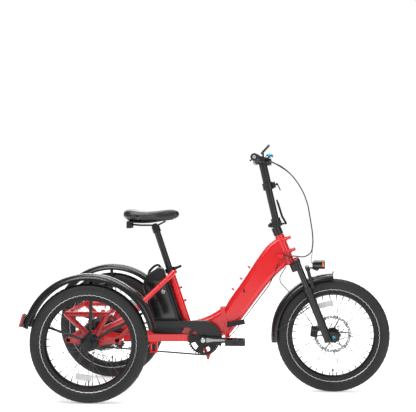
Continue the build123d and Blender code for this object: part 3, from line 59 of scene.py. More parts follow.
def mm(points):
    """Points in millimetres from the rear axle, turned into metres in the shared frame."""
    p = np.asarray(points, float)
    return (p - np.array([MID_X, 0.0, 0.0])) / 1000.0


def leaning(origin, lean):
    """A function giving the point at a rise along a leaning axis and a distance ahead of it."""
    s, c = sin(radians(lean)), cos(radians(lean))
    x, z = origin
    return lambda rise, ahead=0.0, y=0.0: np.array([x - s * rise + c * ahead, y, z + c * rise + s * ahead])


steer_up = leaning((846.0, 737.0), STEER_LEAN)
post = leaning((835.0, 789.0), POST_LEAN)
seat = leaning((SEAT_FOOT_X, SEAT_FOOT_Z), SEAT_LEAN)


def steer(down, ahead=0.0, y=0.0):
    """The point at a distance down the steering axis and a distance ahead of it."""
    return steer_up(-down, ahead, y)


# ---- materials -----------------------------------------------------------------------------------
def linear(hex_colour):
    """sRGB hex text to a linear colour."""
    rgb = [int(hex_colour[i:i + 2], 16) / 255 for i in (1, 3, 5)]
    return [c / 12.92 if c <= 0.04045 else ((c + 0.055) / 1.055) ** 2.4 for c in rgb] + [1.0]


def node(tree, kind, links=(), **values):
    """Adds one shader node, sets its sockets or properties by name and links other sockets in."""
    made = tree.nodes.new(kind)
    for key, value in values.items():
        if key in made.inputs:
            made.inputs[key].default_value = value
        else:
            setattr(made, key, value)
    for socket, source in links:
        tree.links.new(source, made.inputs[socket])
    return made


def ramp(tree, value, spans):
    """Runs a value from between the first two numbers of spans to between the last two."""
    made = node(tree, "ShaderNodeMapRange", [("Value", value)])
    for key, number in zip(("From Min", "From Max", "To Min", "To Max"), spans):
        made.inputs[key].default_value = number
    return made.outputs["Result"]


def finish(name, colour, rough, metal=0.0, coat=0.0, grain=0.0, grain_mm=1.0, shift=0.12, edge=0.0,
           glow=0.0, clear=0.0):
    """A surface with its own colour, a wandering roughness and, with grain, a fine relief in mm."""
    made = bpy.data.materials.new(name)
    made.use_nodes = True
    tree = made.node_tree
    shader = tree.nodes["Principled BSDF"]
    base = linear(colour)
    shader.inputs["Base Color"].default_value = base
    shader.inputs["Metallic"].default_value = metal
    shader.inputs["Coat Weight"].default_value = coat
    shader.inputs["Coat Roughness"].default_value = 0.08
    shader.inputs["Transmission Weight"].default_value = clear
    if glow:
        shader.inputs["Emission Color"].default_value = base
        shader.inputs["Emission Strength"].default_value = glow
    place = node(tree, "ShaderNodeTexCoord").outputs["Object"]
    wander = node(tree, "ShaderNodeTexNoise", [("Vector", place)], Scale=22.0, Detail=4.0, Roughness=0.6)
    spread = ramp(tree, wander.outputs["Fac"], (0.3, 0.7, rough * (1 - shift), rough * (1 + shift)))
    tree.links.new(spread, shader.inputs["Roughness"])
    normal = None
    if edge:
        normal = node(tree, "ShaderNodeBevel", samples=4, Radius=edge / 1000).outputs["Normal"]
    if grain:
        fine = node(tree, "ShaderNodeTexNoise", [("Vector", place)], Scale=1000.0 / grain_mm, Detail=2.0)
        links = [("Height", fine.outputs["Fac"])] + ([("Normal", normal)] if normal else [])
        normal = node(tree, "ShaderNodeBump", links, Strength=0.6, Distance=grain / 1000).outputs["Normal"]
    if normal:
        tree.links.new(normal, shader.inputs["Normal"])
    return made


RED = finish("red enamel", "#d00410", 0.30, coat=0.45, edge=1.0, grain=0.03, grain_mm=5)
BLACK = finish("black powder coat", "#0c0c0e", 0.40, coat=0.1, edge=0.8, grain=0.05, grain_mm=1.6)
ALLOY = finish("black anodised aluminium", "#141416", 0.36, metal=0.35, edge=0.5)
HARD = finish("hard-anodised stanchion aluminium", "#0b0b0d", 0.16, metal=0.4, coat=0.6)
RIM = finish("brushed black anodised aluminium", "#1b1b1d", 0.33, metal=0.5, edge=0.5)
STEEL = finish("stainless steel", "#b9bbbd", 0.24, metal=1.0)
SPOKE = finish("black-finished spoke steel", "#4a4b4e", 0.34, metal=0.9)
# Grey metal used only for the painted highlight on the black crank arms' outer faces.
ARM_HIGHLIGHT = finish("grey metal for painted crank highlight", "#9a9c9e", 0.34, metal=0.8, grain=0.03, grain_mm=0.6)
DISC = finish("ground stainless steel", "#9c9ea0", 0.30, metal=1.0, grain=0.02, grain_mm=0.8)
CHAIN = finish("oiled chain steel", "#3a3836", 0.34, metal=1.0, shift=0.3)
TYRE = finish("butyl rubber", "#0f0f11", 0.62, grain=0.12, grain_mm=1.4)
STRIPE = finish("retroreflective film", "#c6c8ca", 0.30, metal=0.3)
RUBBER = finish("thermoplastic rubber", "#151516", 0.66, grain=0.08, grain_mm=0.9)
CABLE = finish("PVC cable sheath", "#0d0d0f", 0.38, coat=0.2)
PLASTIC = finish("moulded nylon", "#121214", 0.46, edge=0.8, grain=0.06, grain_mm=0.9)
GLOSS = finish("gloss ABS plastic", "#0a0a0c", 0.16, coat=0.5, edge=0.8)
GUARD = finish("polycarbonate mudguard plastic", "#0e0e10", 0.27, coat=0.2, grain=0.02, grain_mm=7)
CELL = finish("satin ABS plastic", "#0c0d12", 0.30, edge=1.0, grain=0.03, grain_mm=0.8)
SKIN = finish("polyurethane leather", "#121213", 0.40, coat=0.15, grain=0.16, grain_mm=1.3)
LENS_RED = finish("red acrylic", "#c01018", 0.12, coat=0.6, glow=0.05)
LENS_CLEAR = finish("clear polycarbonate", "#e8ecf0", 0.06, clear=0.85)
# Painted light: the amber reflectors glow faintly though they are no lamps.
AMBER_PAINTED_GLOW = finish("amber acrylic with painted glow", "#e06a08", 0.18, coat=0.5, glow=0.08)
BLUE = finish("blue anodised aluminium", "#1787a8", 0.22, metal=0.6, coat=0.4)
PALE = finish("grey rubber", "#8a878a", 0.55)
WHITE = finish("white acrylic", "#e4e4e4", 0.3)
REFLECTOR = finish("clear prismatic acrylic", "#c9cccf", 0.22, coat=0.5, clear=0.35, grain=0.5, grain_mm=2.2)


def cover(name, material, angle=32):
    """Gives a CAD node its finish and smooth shading up to an edge angle."""
    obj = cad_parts[name]
    obj.data.materials.clear()
    obj.data.materials.append(material)
    obj.data.shade_smooth()
    obj.data.set_sharp_from_angle(angle=radians(angle))
    return obj


def face_middles(obj):
    """The middle of each face of a node, in millimetres as in the CAD."""
    mesh = obj.data
    middle = np.empty(len(mesh.polygons) * 3)
    mesh.polygons.foreach_get("center", middle)
    return middle.reshape(-1, 3) * 1000.0 + np.array([MID_X, 0, 0])


def part_cover(obj, material, chosen):
    """Gives the chosen faces of a node a second finish."""
    obj.data.materials.append(material)
    index = np.zeros(len(obj.data.polygons), np.int32)
    obj.data.polygons.foreach_get("material_index", index)
    index[chosen] = len(obj.data.materials) - 1
    obj.data.polygons.foreach_set("material_index", index)


COVERS = {
    RED: ("front_frame", "rear_frame", "axle_carrier"),
    BLACK: ("fork_crown", "fork_lowers", "stem_base", "handlepost", "upper_post", "seat_post", "handlebar",
            "mudguard_stays", "motor_housing"),
    CHAIN: ("rear_sprocket",),
    ALLOY: ("front_caliper", "rear_caliper", "saddle_rails", "crank_arms", "chainring", "seat_collar",
            "seat_collar_lever", "frame_latch_lever", "stem_latch_lever", "post_clamp_lever",
            "brake_lever_right", "brake_lever_left", "front_hub", "rear_right_hub", "rear_left_hub"),
    RIM: ("front_rim", "rear_right_rim", "rear_left_rim"),
    SPOKE: ("front_spokes", "rear_right_spokes", "rear_left_spokes"),
    DISC: ("front_brake_disc", "rear_brake_disc"),
    STEEL: ("axle_bearings", "headset_bearings"),
    PLASTIC: ("battery_dock", "chain_guard", "bar_controls", "pedal_right", "pedal_left", "saddle_frame",
              "tension_wheel"),
    GLOSS: ("headlight", "display"),
    GUARD: ("front_mudguard", "rear_mudguards"),
    LENS_RED: ("tail_lights",),
}
for material, names in COVERS.items():
    for name in names:
        cover(name, material)

# The rear lights have black backs, towards the mudguards' centre; the lamp has a clear lens in its
# mouth; the stanchions below the crown are polished.
LIGHT_CENTRE_X, LIGHT_CENTRE_RISE, LIGHT_BACK_R = 4.0, 8, 312.7
LAMP_MOUTH_X, LAMP_Z, LENS_R = 1051.5, 598, 18.3
CROWN_LOW_Z, STANCHION_Y, STANCHION_R = 545, 62, 15.2


def second_finishes():
    """Gives the chosen faces of three nodes their second finish."""
    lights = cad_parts["tail_lights"]
    middle = face_middles(lights)
    away = np.hypot(middle[:, 0] - LIGHT_CENTRE_X, middle[:, 2] - AXLE_Z - LIGHT_CENTRE_RISE)
    part_cover(lights, GLOSS, away < LIGHT_BACK_R)
    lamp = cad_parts["headlight"]
    middle = face_middles(lamp)
    in_mouth = np.hypot(middle[:, 1], middle[:, 2] - LAMP_Z) < LENS_R
    part_cover(lamp, LENS_CLEAR, (middle[:, 0] > LAMP_MOUTH_X) & in_mouth)
    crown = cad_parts["fork_crown"]
    middle = face_middles(crown)
    on_leg = abs(abs(middle[:, 1]) - STANCHION_Y) < STANCHION_R
    part_cover(crown, HARD, (middle[:, 2] < CROWN_LOW_Z) & on_leg)


second_finishes()


# ---- making surfaces -----------------------------------------------------------------------------
def object_from(name, points, faces, materials, body, index=None, sharp=None):
    """A mesh object from points in millimetres, its faces turned outward, riding on a CAD body."""
    p = mm(points)
    mesh = bpy.data.meshes.new(name)
    mesh.from_pydata(p.tolist(), [], faces)
    volume = 0.0
    for f in faces:
        a = p[f[0]]
        for i in range(1, len(f) - 1):
            volume += np.dot(a, np.cross(p[f[i]], p[f[i + 1]]))
    if volume < 0:
        mesh.flip_normals()
    for material in materials:
        mesh.materials.append(material)
    if index is not None:
        mesh.polygons.foreach_set("material_index", np.asarray(index, np.int32))
    mesh.shade_smooth()
    if sharp:
        mesh.set_sharp_from_angle(angle=radians(sharp))
    mesh.update()
    obj = bpy.data.objects.new(name, mesh)
    bpy.context.scene.collection.objects.link(obj)
    if body:
        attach(obj, body)
    return obj


def grid_faces(n, m, wrap_n, wrap_m):
    """Four-sided faces over an n by m grid of points, closed round either way where asked."""
    i = np.arange(n if wrap_n else n - 1)[:, None]
    j = np.arange(m if wrap_m else m - 1)[None, :]
    a = i * m + j
    b = ((i + 1) % n) * m + j
    c = ((i + 1) % n) * m + (j + 1) % m
    d = i * m + (j + 1) % m
    return np.stack([a, b, c, d], -1).reshape(-1, 4).tolist()


def end_caps(last, sides):
    """The faces that close the first ring of points and the ring that starts at last."""
    return [list(range(sides))[::-1], list(range(last, last + sides))]


def lathe(start, end, profile, sides=24):
    """Points and faces of a piece turned about the line from start to end; profile is (along, radius)."""
    a, b = np.asarray(start, float), np.asarray(end, float)
    w = (b - a) / np.linalg.norm(b - a)
    u = np.cross(w, [0, 0, 1] if abs(w[2]) < 0.9 else [1, 0, 0])
    u /= np.linalg.norm(u)
    v = np.cross(w, u)
    turn = np.linspace(0, 2 * pi, sides, endpoint=False)
    ring = np.cos(turn)[:, None] * u + np.sin(turn)[:, None] * v
    points = np.concatenate([a + w * s + ring * r for s, r in profile])
    faces = grid_faces(len(profile), sides, False, True)
    faces += end_caps((len(profile) - 1) * sides, sides)
    return points, faces


def joined(pieces):
    """Several (points, faces) sets as one."""
    points, faces, start = [], [], 0
    for p, f in pieces:
        points.append(np.asarray(p, float))
        faces += [[k + start for k in face] for face in f]
        start += len(p)
    return np.concatenate(points), faces


def prism(outline, y0, y1, bevel=0.0):
    """A side outline in X and Z given thickness along Y, with its two rims bevelled."""
    o = np.asarray(outline, float)
    n = len(o)
    before, after = o - np.roll(o, 1, 0), np.roll(o, -1, 0) - o
    normal = lambda d: np.stack([d[:, 1], -d[:, 0]], 1) / np.linalg.norm(d, axis=1)[:, None]
    mid = normal(before) + normal(after)
    mid /= (np.linalg.norm(mid, axis=1)[:, None] ** 2) / 2
    if np.sum(o[:, 0] * np.roll(o[:, 1], -1) - o[:, 1] * np.roll(o[:, 0], -1)) < 0:
        mid = -mid
    layers = [(y0, bevel), (y0 + bevel * 0.3, bevel * 0.3), (y0 + bevel, 0), (y1 - bevel, 0),
              (y1 - bevel * 0.3, bevel * 0.3), (y1, bevel)] if bevel else [(y0, 0), (y1, 0)]
    points = []
    for y, inset in layers:
        p = o - mid * inset
        points.append(np.stack([p[:, 0], np.full(n, y), p[:, 1]], 1))
    faces = grid_faces(len(layers), n, False, True)
    faces += end_caps((len(layers) - 1) * n, n)
    return np.concatenate(points), faces


def rounded(outline, radius, steps=5):
    """An outline with each corner replaced by an arc."""
    o = [np.asarray(p, float) for p in outline]
    out = []
    for k, p in enumerate(o):
        a, b = o[k - 1] - p, o[(k + 1) % len(o)] - p
        la, lb = np.linalg.norm(a), np.linalg.norm(b)
        r = radius[k] if hasattr(radius, "__len__") else radius
        cut = min(r, la * 0.45, lb * 0.45)
        for t in np.linspace(0, 1, steps):
            q = (1 - t) ** 2 * (p + a / la * cut) + 2 * t * (1 - t) * p + t * t * (p + b / lb * cut)
            out.append(q)
    return np.array(out)


def route(points, step=6.0):
    """Straight runs joined by arcs, each as wide as its shorter run allows, sampled along its length."""
    p = [np.asarray(q, float) for q in points]
    out = [p[0]]
    for a, b, c in zip(p, p[1:], p[2:]):
        u, v = (a - b) / np.linalg.norm(a - b), (c - b) / np.linalg.norm(c - b)
        cut = 0.45 * min(np.linalg.norm(a - b), np.linalg.norm(c - b))
        half = np.arccos(np.clip(np.dot(u, v), -1, 1)) / 2
        r = cut * tan(half)
        middle = b + (u + v) / np.linalg.norm(u + v) * (r / sin(half))
        p0, p1 = b + u * cut - middle, b + v * cut - middle
        sweep = np.arccos(np.clip(np.dot(p0, p1) / r / r, -1, 1))
        n = max(3, int(r * sweep / step))
        for t in np.linspace(0, 1, n + 1):
            out.append(middle + (p0 * sin((1 - t) * sweep) + p1 * sin(t * sweep)) / sin(sweep))
    out.append(p[-1])
    dense = [out[0]]
    for a, b in zip(out, out[1:]):
        k = max(1, int(np.linalg.norm(b - a) / step))
        dense += [a + (b - a) * i / k for i in range(1, k + 1)]
    return np.array(dense)


def tube(path, radius, sides=12):
    """A round tube along a sampled path, with closed ends."""
    path = np.asarray(path, float)
    along = np.gradient(path, axis=0)
    along /= np.linalg.norm(along, axis=1)[:, None]
    u = np.cross(along[0], [0.13, 1, 0.21])
    points = []
    for p, w in zip(path, along):
        u = u - w * np.dot(u, w)
        u /= np.linalg.norm(u)
        v = np.cross(w, u)
        t = np.linspace(0, 2 * pi, sides, endpoint=False)[:, None]
        points.append(p + radius * (np.cos(t) * u + np.sin(t) * v))
    faces = grid_faces(len(path), sides, False, True)
    faces += end_caps((len(path) - 1) * sides, sides)
    return np.concatenate(points), faces


# ---- tyres ---------------------------------------------------------------------------------------
GROOVES = np.array([4.8, 5.6, 13.4, 14.4])
CROWN_HALF, SHOULDER_R, GROOVE_DEPTH = 24.7, 249, 2.2


def tyre(name, x, y, body):
    """Tyre turned about the axle: radius 266 - 7 (v / 24.5)^2 across the crown, where v is the distance
    from its middle, less 2.2 mm in the grooves between three rows of tread blocks; a pale line runs
    round each sidewall just outside the rim."""
    blocks, per = 60, 8
    wall = [(17.0, 204.0), (17.0, 212.6), (20.6, 213.6), (21.6, 215.2), (22.8, 217.2), (25.6, 221.5),
            (29.2, 228.5), (31.4, 236.0), (31.2, 243.0), (29.6, 250.0), (27.4, 255.5), (25.6, 258.2)]
    rows = np.array([24.6, 23.6, 19.5, 15.4, 14.4, 13.4, 12.4, 9.5, 6.6, 5.6, 4.8, 4.0, 2.0])
    crown = [(v, 266 - 7 * (v / 24.5) ** 2) for v in rows]
    half = wall + crown
    outer = half + [(0.0, 266.0)] + [(-v, r) for v, r in reversed(half)]
    inner = [(-12.0, 204.0), (-12.0, 214.0), (12.0, 214.0), (12.0, 204.0)]
    profile = np.array(outer + inner)
    n = blocks * per
    turn = np.arange(n) * 2 * pi / n
    v, r = profile[:, 0], profile[:, 1]
    a = np.abs(v)
    phase = turn[:, None] * blocks / (2 * pi)
    row = np.where(a < 4.9, 0, np.where(a < 13.5, 1, 2))
    slant = np.where(row == 0, 0.0, np.where(row == 1, 0.045 * v, 0.02 * v))
    place = (phase + slant[None, :] + np.array([0.0, 0.5, 0.25])[row][None, :]) % 1.0
    block = np.clip((0.5 - abs(place - 0.5)) / 0.06 - 1.6, 0, 1)
    between = (abs(a[:, None] - GROOVES) < 0.3).any(axis=1)
    tread = a < CROWN_HALF
    outside = np.arange(len(v)) < len(outer)
    cut = np.where(between[None, :], 1.0, 1 - block) * (tread & outside)[None, :]
    lug = 0.7 * (1 - np.clip((0.5 - abs((phase + 0.25) % 1.0 - 0.5)) / 0.08 - 1.6, 0, 1)) * (
        (a > CROWN_HALF) & (r > SHOULDER_R) & outside)[None, :]
    radius = r[None, :] - GROOVE_DEPTH * cut - lug
    points = np.stack([x + radius * np.cos(turn)[:, None], y + np.broadcast_to(v, radius.shape),
                       AXLE_Z + radius * np.sin(turn)[:, None]], -1).reshape(-1, 3)
    faces = grid_faces(n, len(v), True, True)
    strip = np.zeros((n, len(v)), int)
    strip[:, [3, len(outer) - 5]] = 1
    obj = object_from(name, points, faces, [TYRE, STRIPE], body, index=strip.reshape(-1), sharp=40)
    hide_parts(name.replace("tread_", "") + "_tyre")
    stem = [(0, 3.0), (6, 3.0), (6.5, 4.6), (9, 4.6), (9.5, 2.6)]
    stem += [(34, 2.6), (34.5, 4.2), (44, 4.2), (46, 3.0)]
    points, faces = lathe((x, y, AXLE_Z - 204), (x, y, AXLE_Z - 158), stem, 14)
    object_from(name.replace("tread_", "") + "_valve", points, faces, [RUBBER], body, sharp=35)


tyre("tread_front", WHEELBASE, 0.0, "front_wheel")
tyre("tread_rear_right", 0.0, -HALF_TRACK, "rear_right_wheel")
tyre("tread_rear_left", 0.0, HALF_TRACK, "rear_left_wheel")


# ---- chain ---------------------------------------------------------------------------------------
def chain_pins():
    """Pin positions at equal steps round the loop of two arcs and their outer tangents."""
    small, large = PITCH / 2 / sin(pi / SPROCKET_TEETH), PITCH / 2 / sin(pi / RING_TEETH)
    rise = CRANK_Z - AXLE_Z
    span, base = hypot(CRANK_X, rise), atan2(rise, CRANK_X)
    lean = asin((large - small) / span)
    up, down = base + lean + pi / 2, base - lean - pi / 2

    def arc(cx, cz, r, a, b):
        turns = [a + (b - a) * t / 400 for t in range(401)]
        return [(cx + r * cos(turn), cz + r * sin(turn)) for turn in turns]

    loop = arc(CRANK_X, CRANK_Z, large, up, down) + arc(0.0, AXLE_Z, small, down, up - 2 * pi)
    loop = np.array(loop + loop[:1])
    length = np.concatenate([[0], np.cumsum(np.hypot(*np.diff(loop, axis=0).T))])
    count = 2 * round(length[-1] / PITCH / 2)
    at = np.linspace(0, length[-1], count, endpoint=False)
    return np.stack([np.interp(at, length, loop[:, 0]), np.interp(at, length, loop[:, 1])], 1)


def plate(a, b, y0, y1):
    """Waisted side plate between two pins."""
    a, b = np.asarray(a), np.asarray(b)
    w = (b - a) / np.linalg.norm(b - a)
    h = np.array([-w[1], w[0]])
    shape = [a - w * 3.9 * cos(t) + h * 3.9 * sin(t) for t in np.linspace(-1.9, 1.9, 7)]
    shape += [(a + b) / 2 + h * 2.9]
    shape += [b + w * 3.9 * cos(t) + h * 3.9 * sin(t) for t in np.linspace(1.9, -1.9, 7)]
    shape += [(a + b) / 2 - h * 2.9]
    return prism(shape, y0, y1)


def chain():
    """At each 12.7 mm pitch a roller, a pin and two waisted plates, the plates inside and outside in turn."""
    pins = chain_pins()
    pieces = []
    for k, (a, b) in enumerate(zip(pins, np.roll(pins, -1, 0))):
        inner, outer = (1.6, 2.5) if k % 2 else (2.6, 3.5)
        for side in (1, -1):
            y = sorted((CHAIN_Y + side * inner, CHAIN_Y + side * outer))
            pieces.append(plate(a, b, *y))
        for r, w in ((3.6, 1.5), (1.7, 3.9)):
            start, end = (a[0], CHAIN_Y - w, a[1]), (a[0], CHAIN_Y + w, a[1])
            pieces.append(lathe(start, end, [(0, r), (2 * w, r)], 10))
    points, faces = joined(pieces)
    obj = object_from("roller_chain", points, faces, [CHAIN], "rear_frame", sharp=30)
    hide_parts("chain")


chain()


# ---- saddle --------------------------------------------------------------------------------------
def saddle():
    """Cover made of rounded sections along X. Half width, top and bottom follow smooth curves through
    a few points; a hollow of 4 exp(-(y / 10)^2) mm runs down the middle and a seam of 1 mm along the
    sides."""
    along = [112, 118, 132, 160, 190, 225, 262, 300, 335, 358, 368, 372]
    wide = [34, 58, 84, 95, 92, 68, 44, 33, 28, 23, 15, 8]
    top = [843, 853, 860, 858, 851, 848, 851, 856, 859, 855, 848, 841]
    low = [824, 812, 804, 803, 801, 801, 800, 802, 808, 815, 822, 829]
    n, m = 90, 72
    s = np.linspace(0, 1, n)

    def curve(values):
        fine = np.interp(s, np.linspace(0, 1, len(along)), values)
        for _ in range(14):
            fine[1:-1] = (fine[:-2] + 2 * fine[1:-1] + fine[2:]) / 4
        return fine

    x, w, t, b = curve(along), curve(wide), curve(top), curve(low)
    phi = np.linspace(0, 2 * pi, m, endpoint=False)
    c, q = np.cos(phi), np.sin(phi)
    y = w[:, None] * np.sign(c) * np.abs(c) ** 0.7
    split = b + (t - b) * 0.42
    z = np.where(q[None, :] > 0, split[:, None] + (t - split)[:, None] * np.abs(q) ** 0.72,
                 split[:, None] - (split - b)[:, None] * np.abs(q) ** 0.8)
    inside = np.exp(-((np.broadcast_to(x[:, None], y.shape) - 235) / 95) ** 4)
    z = z - 4.0 * np.exp(-(y / 10) ** 2) * inside * (q[None, :] > 0.2)
    seam = np.exp(-((phi - 0.42) / 0.045) ** 2) + np.exp(-((phi - pi + 0.42) / 0.045) ** 2)
    y = y * (1 - 0.02 * seam[None, :])
    z = z - 0.8 * seam[None, :]
    points = np.stack([np.broadcast_to(x[:, None], y.shape), y, z], -1).reshape(-1, 3)
    faces = grid_faces(n, m, False, True)
    faces += end_caps((n - 1) * m, m)
    mid = points[[f[0] for f in faces]]
    gloss = ((mid[:, 0] < 212 - (mid[:, 2] - 800) * 0.8) & (mid[:, 2] < 829)).astype(int)
    obj = object_from("saddle_pad", points, faces, [SKIN, GLOSS], "saddle", index=gloss)
    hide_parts("saddle_cover")


saddle()


# ---- battery -------------------------------------------------------------------------------------
def battery():
    """Case with rounded corners and bevelled rims, a gloss side panel, a carrying handle and a lock."""
    foot, head = 316.3, 575.0
    tube_r, dock, gap = 18.0, 9.0, 0.9
    back = (tube_r + dock + gap) / cos(radians(SEAT_LEAN))

    def face(z):
        return SEAT_FOOT_X - (z - SEAT_FOOT_Z) * tan(radians(SEAT_LEAN)) - back

    outline = rounded([(face(foot), foot), (face(head), head), (279, 587), (217, 546), (201, 500),
                       (255, foot)], [6, 8, 10, 22, 26, 10])
    case = object_from("battery_case", *prism(outline, -36, 36, 5), [CELL], "battery_pack", sharp=25)
    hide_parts("battery")
    panel = rounded([(face(345) - 14, 345), (face(520) - 14, 520), (226, 520), (216, 498), (262, 345)], 12)
    for side in (1, -1):
        y = sorted((side * 35.4, side * 36.6))
        points, faces = prism(panel, *y, 0.5)
        object_from(f"battery_panel_{'left' if side > 0 else 'right'}", points, faces, [GLOSS],
                    "battery_pack", sharp=25)
    path = route([(286, 0, 578), (275, 0, 596), (254, 0, 588), (232, 0, 566), (226, 0, 549)], 4)
    points, faces = tube(path, 6.0, 12)
    object_from("battery_handle", points, faces, [PLASTIC], "battery_pack")
    barrel = [(0, 9), (1.8, 9), (2.4, 8), (2.4, 4.4), (1.4, 4)]
    points, faces = lathe((300, -36, 470), (300, -38.6, 470), barrel, 28)
    object_from("battery_lock", points, faces, [STEEL], "battery_pack", sharp=30)


battery()


# ---- handlebar furniture -------------------------------------------------------------------------
BAR_X, BAR_Z = post(BAR_RISE)[0], post(BAR_RISE)[2]
BAR_KNEE_Y, BAR_END_Y = 168.0, 320.0


def bar_point(y):
    """The point of the bar's outer run at y: 20 mm back at the knee and 12 mm more at the end."""
    share = (abs(y) - BAR_KNEE_Y) / (BAR_END_Y - BAR_KNEE_Y)
    return np.array([BAR_X - 20 - 12 * share, y, BAR_Z + 6.5])


def grips():
    """Grips turned about the bar's outer runs: radius 16.2 + 1.1 |sin| rings, with flared ends."""
    for side, name in ((-1, "right"), (1, "left")):
        outer, inner = bar_point(side * 323.0), bar_point(side * 204.5)
        length = np.linalg.norm(inner - outer)
        profile = [(0, 7.0), (0.4, 13.5), (2, 16.6), (6, 17.4), (9, 17.4), (10, 16.0)]
        for s in np.linspace(11, length - 10, 90):
            profile.append((s, 15.6 + 1.3 * abs(sin(s * pi / 5.2)) ** 0.6))
        profile += [(length - 9, 16.0), (length - 8, 17.5), (length - 2, 17.5)]
        profile += [(length, 15.5), (length, 11.3)]
        points, faces = lathe(outer, inner, profile, 40)
        material = RUBBER if side < 0 else PALE
        grip = object_from(f"grip_{name}", points, faces, [material], "bar_assembly", sharp=50)
        if side < 0:
            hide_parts("grips")
        points, faces = lathe(outer + (outer - inner) / length * 1.2, outer - (outer - inner) / length * 1,
                              [(0, 4.5), (0.6, 6.4), (2.2, 6.6)], 24)
        object_from(f"bar_plug_{name}", points, faces, [WHITE], "bar_assembly")


grips()

BELL = [(0, 6), (5, 6), (6, 17), (9, 17.5), (13, 16), (17, 12), (19.5, 6), (20.5, 1.5)]
points, faces = lathe((800, -150, 1096), (805, -150, 1118), BELL, 32)
object_from("bell_dome", points, faces, [BLUE], "bar_assembly", sharp=40)

# ---- pedal reflectors, wheel reflector, lamp reflectors, bolts -----------------------------------
SIDES = ((-1, "right"), (1, "left"))
PEDAL_Y = ARM_Y + 8 + 44

for side, name in SIDES:
    end, y = CRANK_X - side * CRANK_LEN, side * PEDAL_Y
    for k, dx in enumerate((45.2, -45.2)):
        box = rounded([(dx - 2.2, CRANK_Z - 7), (dx + 2.2, CRANK_Z - 7), (dx + 2.2, CRANK_Z + 7),
                       (dx - 2.2, CRANK_Z + 7)], 1.0, 3) + np.array([end, 0])
        points, faces = prism(box, y - 26, y + 26, 0.6)
        object_from(f"pedal_{name}_reflector_{k}", points, faces, [AMBER_PAINTED_GLOW], f"{name}_pedal", sharp=30)


def turned_box(middle, size, turn):
    """Box whose side outline is turned in the wheel's plane."""
    h, v = size[0] / 2, size[2] / 2
    c, s = cos(turn), sin(turn)
    corner = [(-h, -v), (h, -v), (h, v), (-h, v)]
    outline = [(middle[0] + a * c - b * s, middle[2] + a * s + b * c) for a, b in corner]
    return prism(rounded(outline, 3, 4), middle[1] - size[1] / 2, middle[1] + size[1] / 2, 0.8)


REFLECTOR_R = 150
for name, x, y, turn, body in (("front", WHEELBASE, -19, 103, "front_wheel"),
                               ("rear_right", 0.0, -HALF_TRACK - 17, 262, "rear_right_wheel"),
                               ("rear_left", 0.0, HALF_TRACK - 17, 40, "rear_left_wheel")):
    angle = radians(turn)
    middle = (x + REFLECTOR_R * cos(angle), y, AXLE_Z + REFLECTOR_R * sin(angle))
    points, faces = turned_box(middle, (70, 8, 26), radians(turn - 90))
    object_from(f"{name}_spoke_reflector", points, faces, [REFLECTOR], body, sharp=30)

for side, name in SIDES:
    points, faces = prism(rounded([(1049, 588), (1058, 588), (1058, 608), (1049, 608)], 2, 4),
                          *sorted((side * 17.5, side * 21.4)), 0.6)
    object_from(f"lamp_reflector_{name}", points, faces, [AMBER_PAINTED_GLOW], "fork_legs", sharp=30)


def bolt(name, foot, head, radius, body, material=ALLOY):
    """Cap screw head: a short drum with a bevelled rim and a socket."""
    foot, head = np.asarray(foot, float), np.asarray(head, float)
    h = np.linalg.norm(head - foot)
    profile = [(0, radius), (h * 0.75, radius), (h, radius * 0.8)]
    profile += [(h, radius * 0.5), (h * 0.45, radius * 0.45)]
    points, faces = lathe(foot, head, profile, 20)
    object_from(name, points, faces, [material], body, sharp=35)


for k, rise in enumerate((92.0, 156.0)):
    bolt(f"cage_screw_{k}", seat(rise, 25), seat(rise, 29.5), 5.0, "rear_frame")
for side, name in SIDES:
    bolt(f"crank_bolt_{name}", (CRANK_X, side * ARM_Y, CRANK_Z), (CRANK_X, side * (ARM_Y + 6), CRANK_Z), 11,
         "crank", STEEL)
    leg_y = side * STANCHION_Y
    bolt(f"fork_cap_{name}", steer(139, 30, leg_y), steer(131, 30, leg_y), 13, "steering", RED)
    bolt(f"axle_cap_{name}", (WHEELBASE, side * 76, AXLE_Z), (WHEELBASE, side * 80, AXLE_Z), 7, "fork_legs",
         BLUE if side < 0 else STEEL)
    rise = BAR_RISE + side * 13
    for k, y in enumerate((-14, 14)):
        foot, head = post(rise, 20, y), post(rise, 24.5, y)
        bolt(f"bar_clamp_screw_{name}_{k}", foot, head, 3.4, "bar_assembly", STEEL)

for k, (x, z) in enumerate(((707.0, 583.0), (669.2, 528.4), (631.3, 478.5))):
    up = np.array([-0.817, 0.0, 0.577])
    at = np.array([x, 0.0, z])
    bolt(f"tube_stud_{k}", at - up * 4, at + up * 7, 4.5, "front_half", RED)
    bolt(f"tube_stud_screw_{k}", at + up * 6.5, at + up * 10, 3.6, "front_half")
points, faces = prism(rounded([(678, 466), (686, 466), (686, 483), (678, 483)], 3.5), -32.6, -29.0, 0.6)
object_from("cable_grommet", points, faces, [RUBBER], "front_half", sharp=30)

# Painted highlight: a grey metal patch on each black crank arm's outer face stands in for the light it
# reflects.
for side, name in SIDES:
    along = -side
    highlight_patch = rounded([(CRANK_X + along * 15, CRANK_Z - 11), (CRANK_X + along * 48, CRANK_Z - 5.5),
                     (CRANK_X + along * 108, CRANK_Z - 4), (CRANK_X + along * 108, CRANK_Z + 4),
                     (CRANK_X + along * 48, CRANK_Z + 5.5), (CRANK_X + along * 15, CRANK_Z + 11)], 4)
    points, faces = prism(highlight_patch, *sorted((side * (ARM_Y - 1), side * (ARM_Y + 0.8))), 0.4)
    object_from(f"crank_painted_highlight_{name}", points, faces, [ARM_HIGHLIGHT], "crank", sharp=30)

# ---- cables --------------------------------------------------------------------------------------
TRUNK = [(897, 1029), (935, 982), (963, 931), (981, 879), (993, 809), (1002, 753), (1005, 701),
         (998, 655), (963, 634), (925, 640), (865.3, 640)]
TRUNK_Y = (-28.5, -35.0, -41.5)
UPPER_TIE, LOWER_TIE = 3, 6
LEVER_Y, LEVER_AHEAD = 182, 46


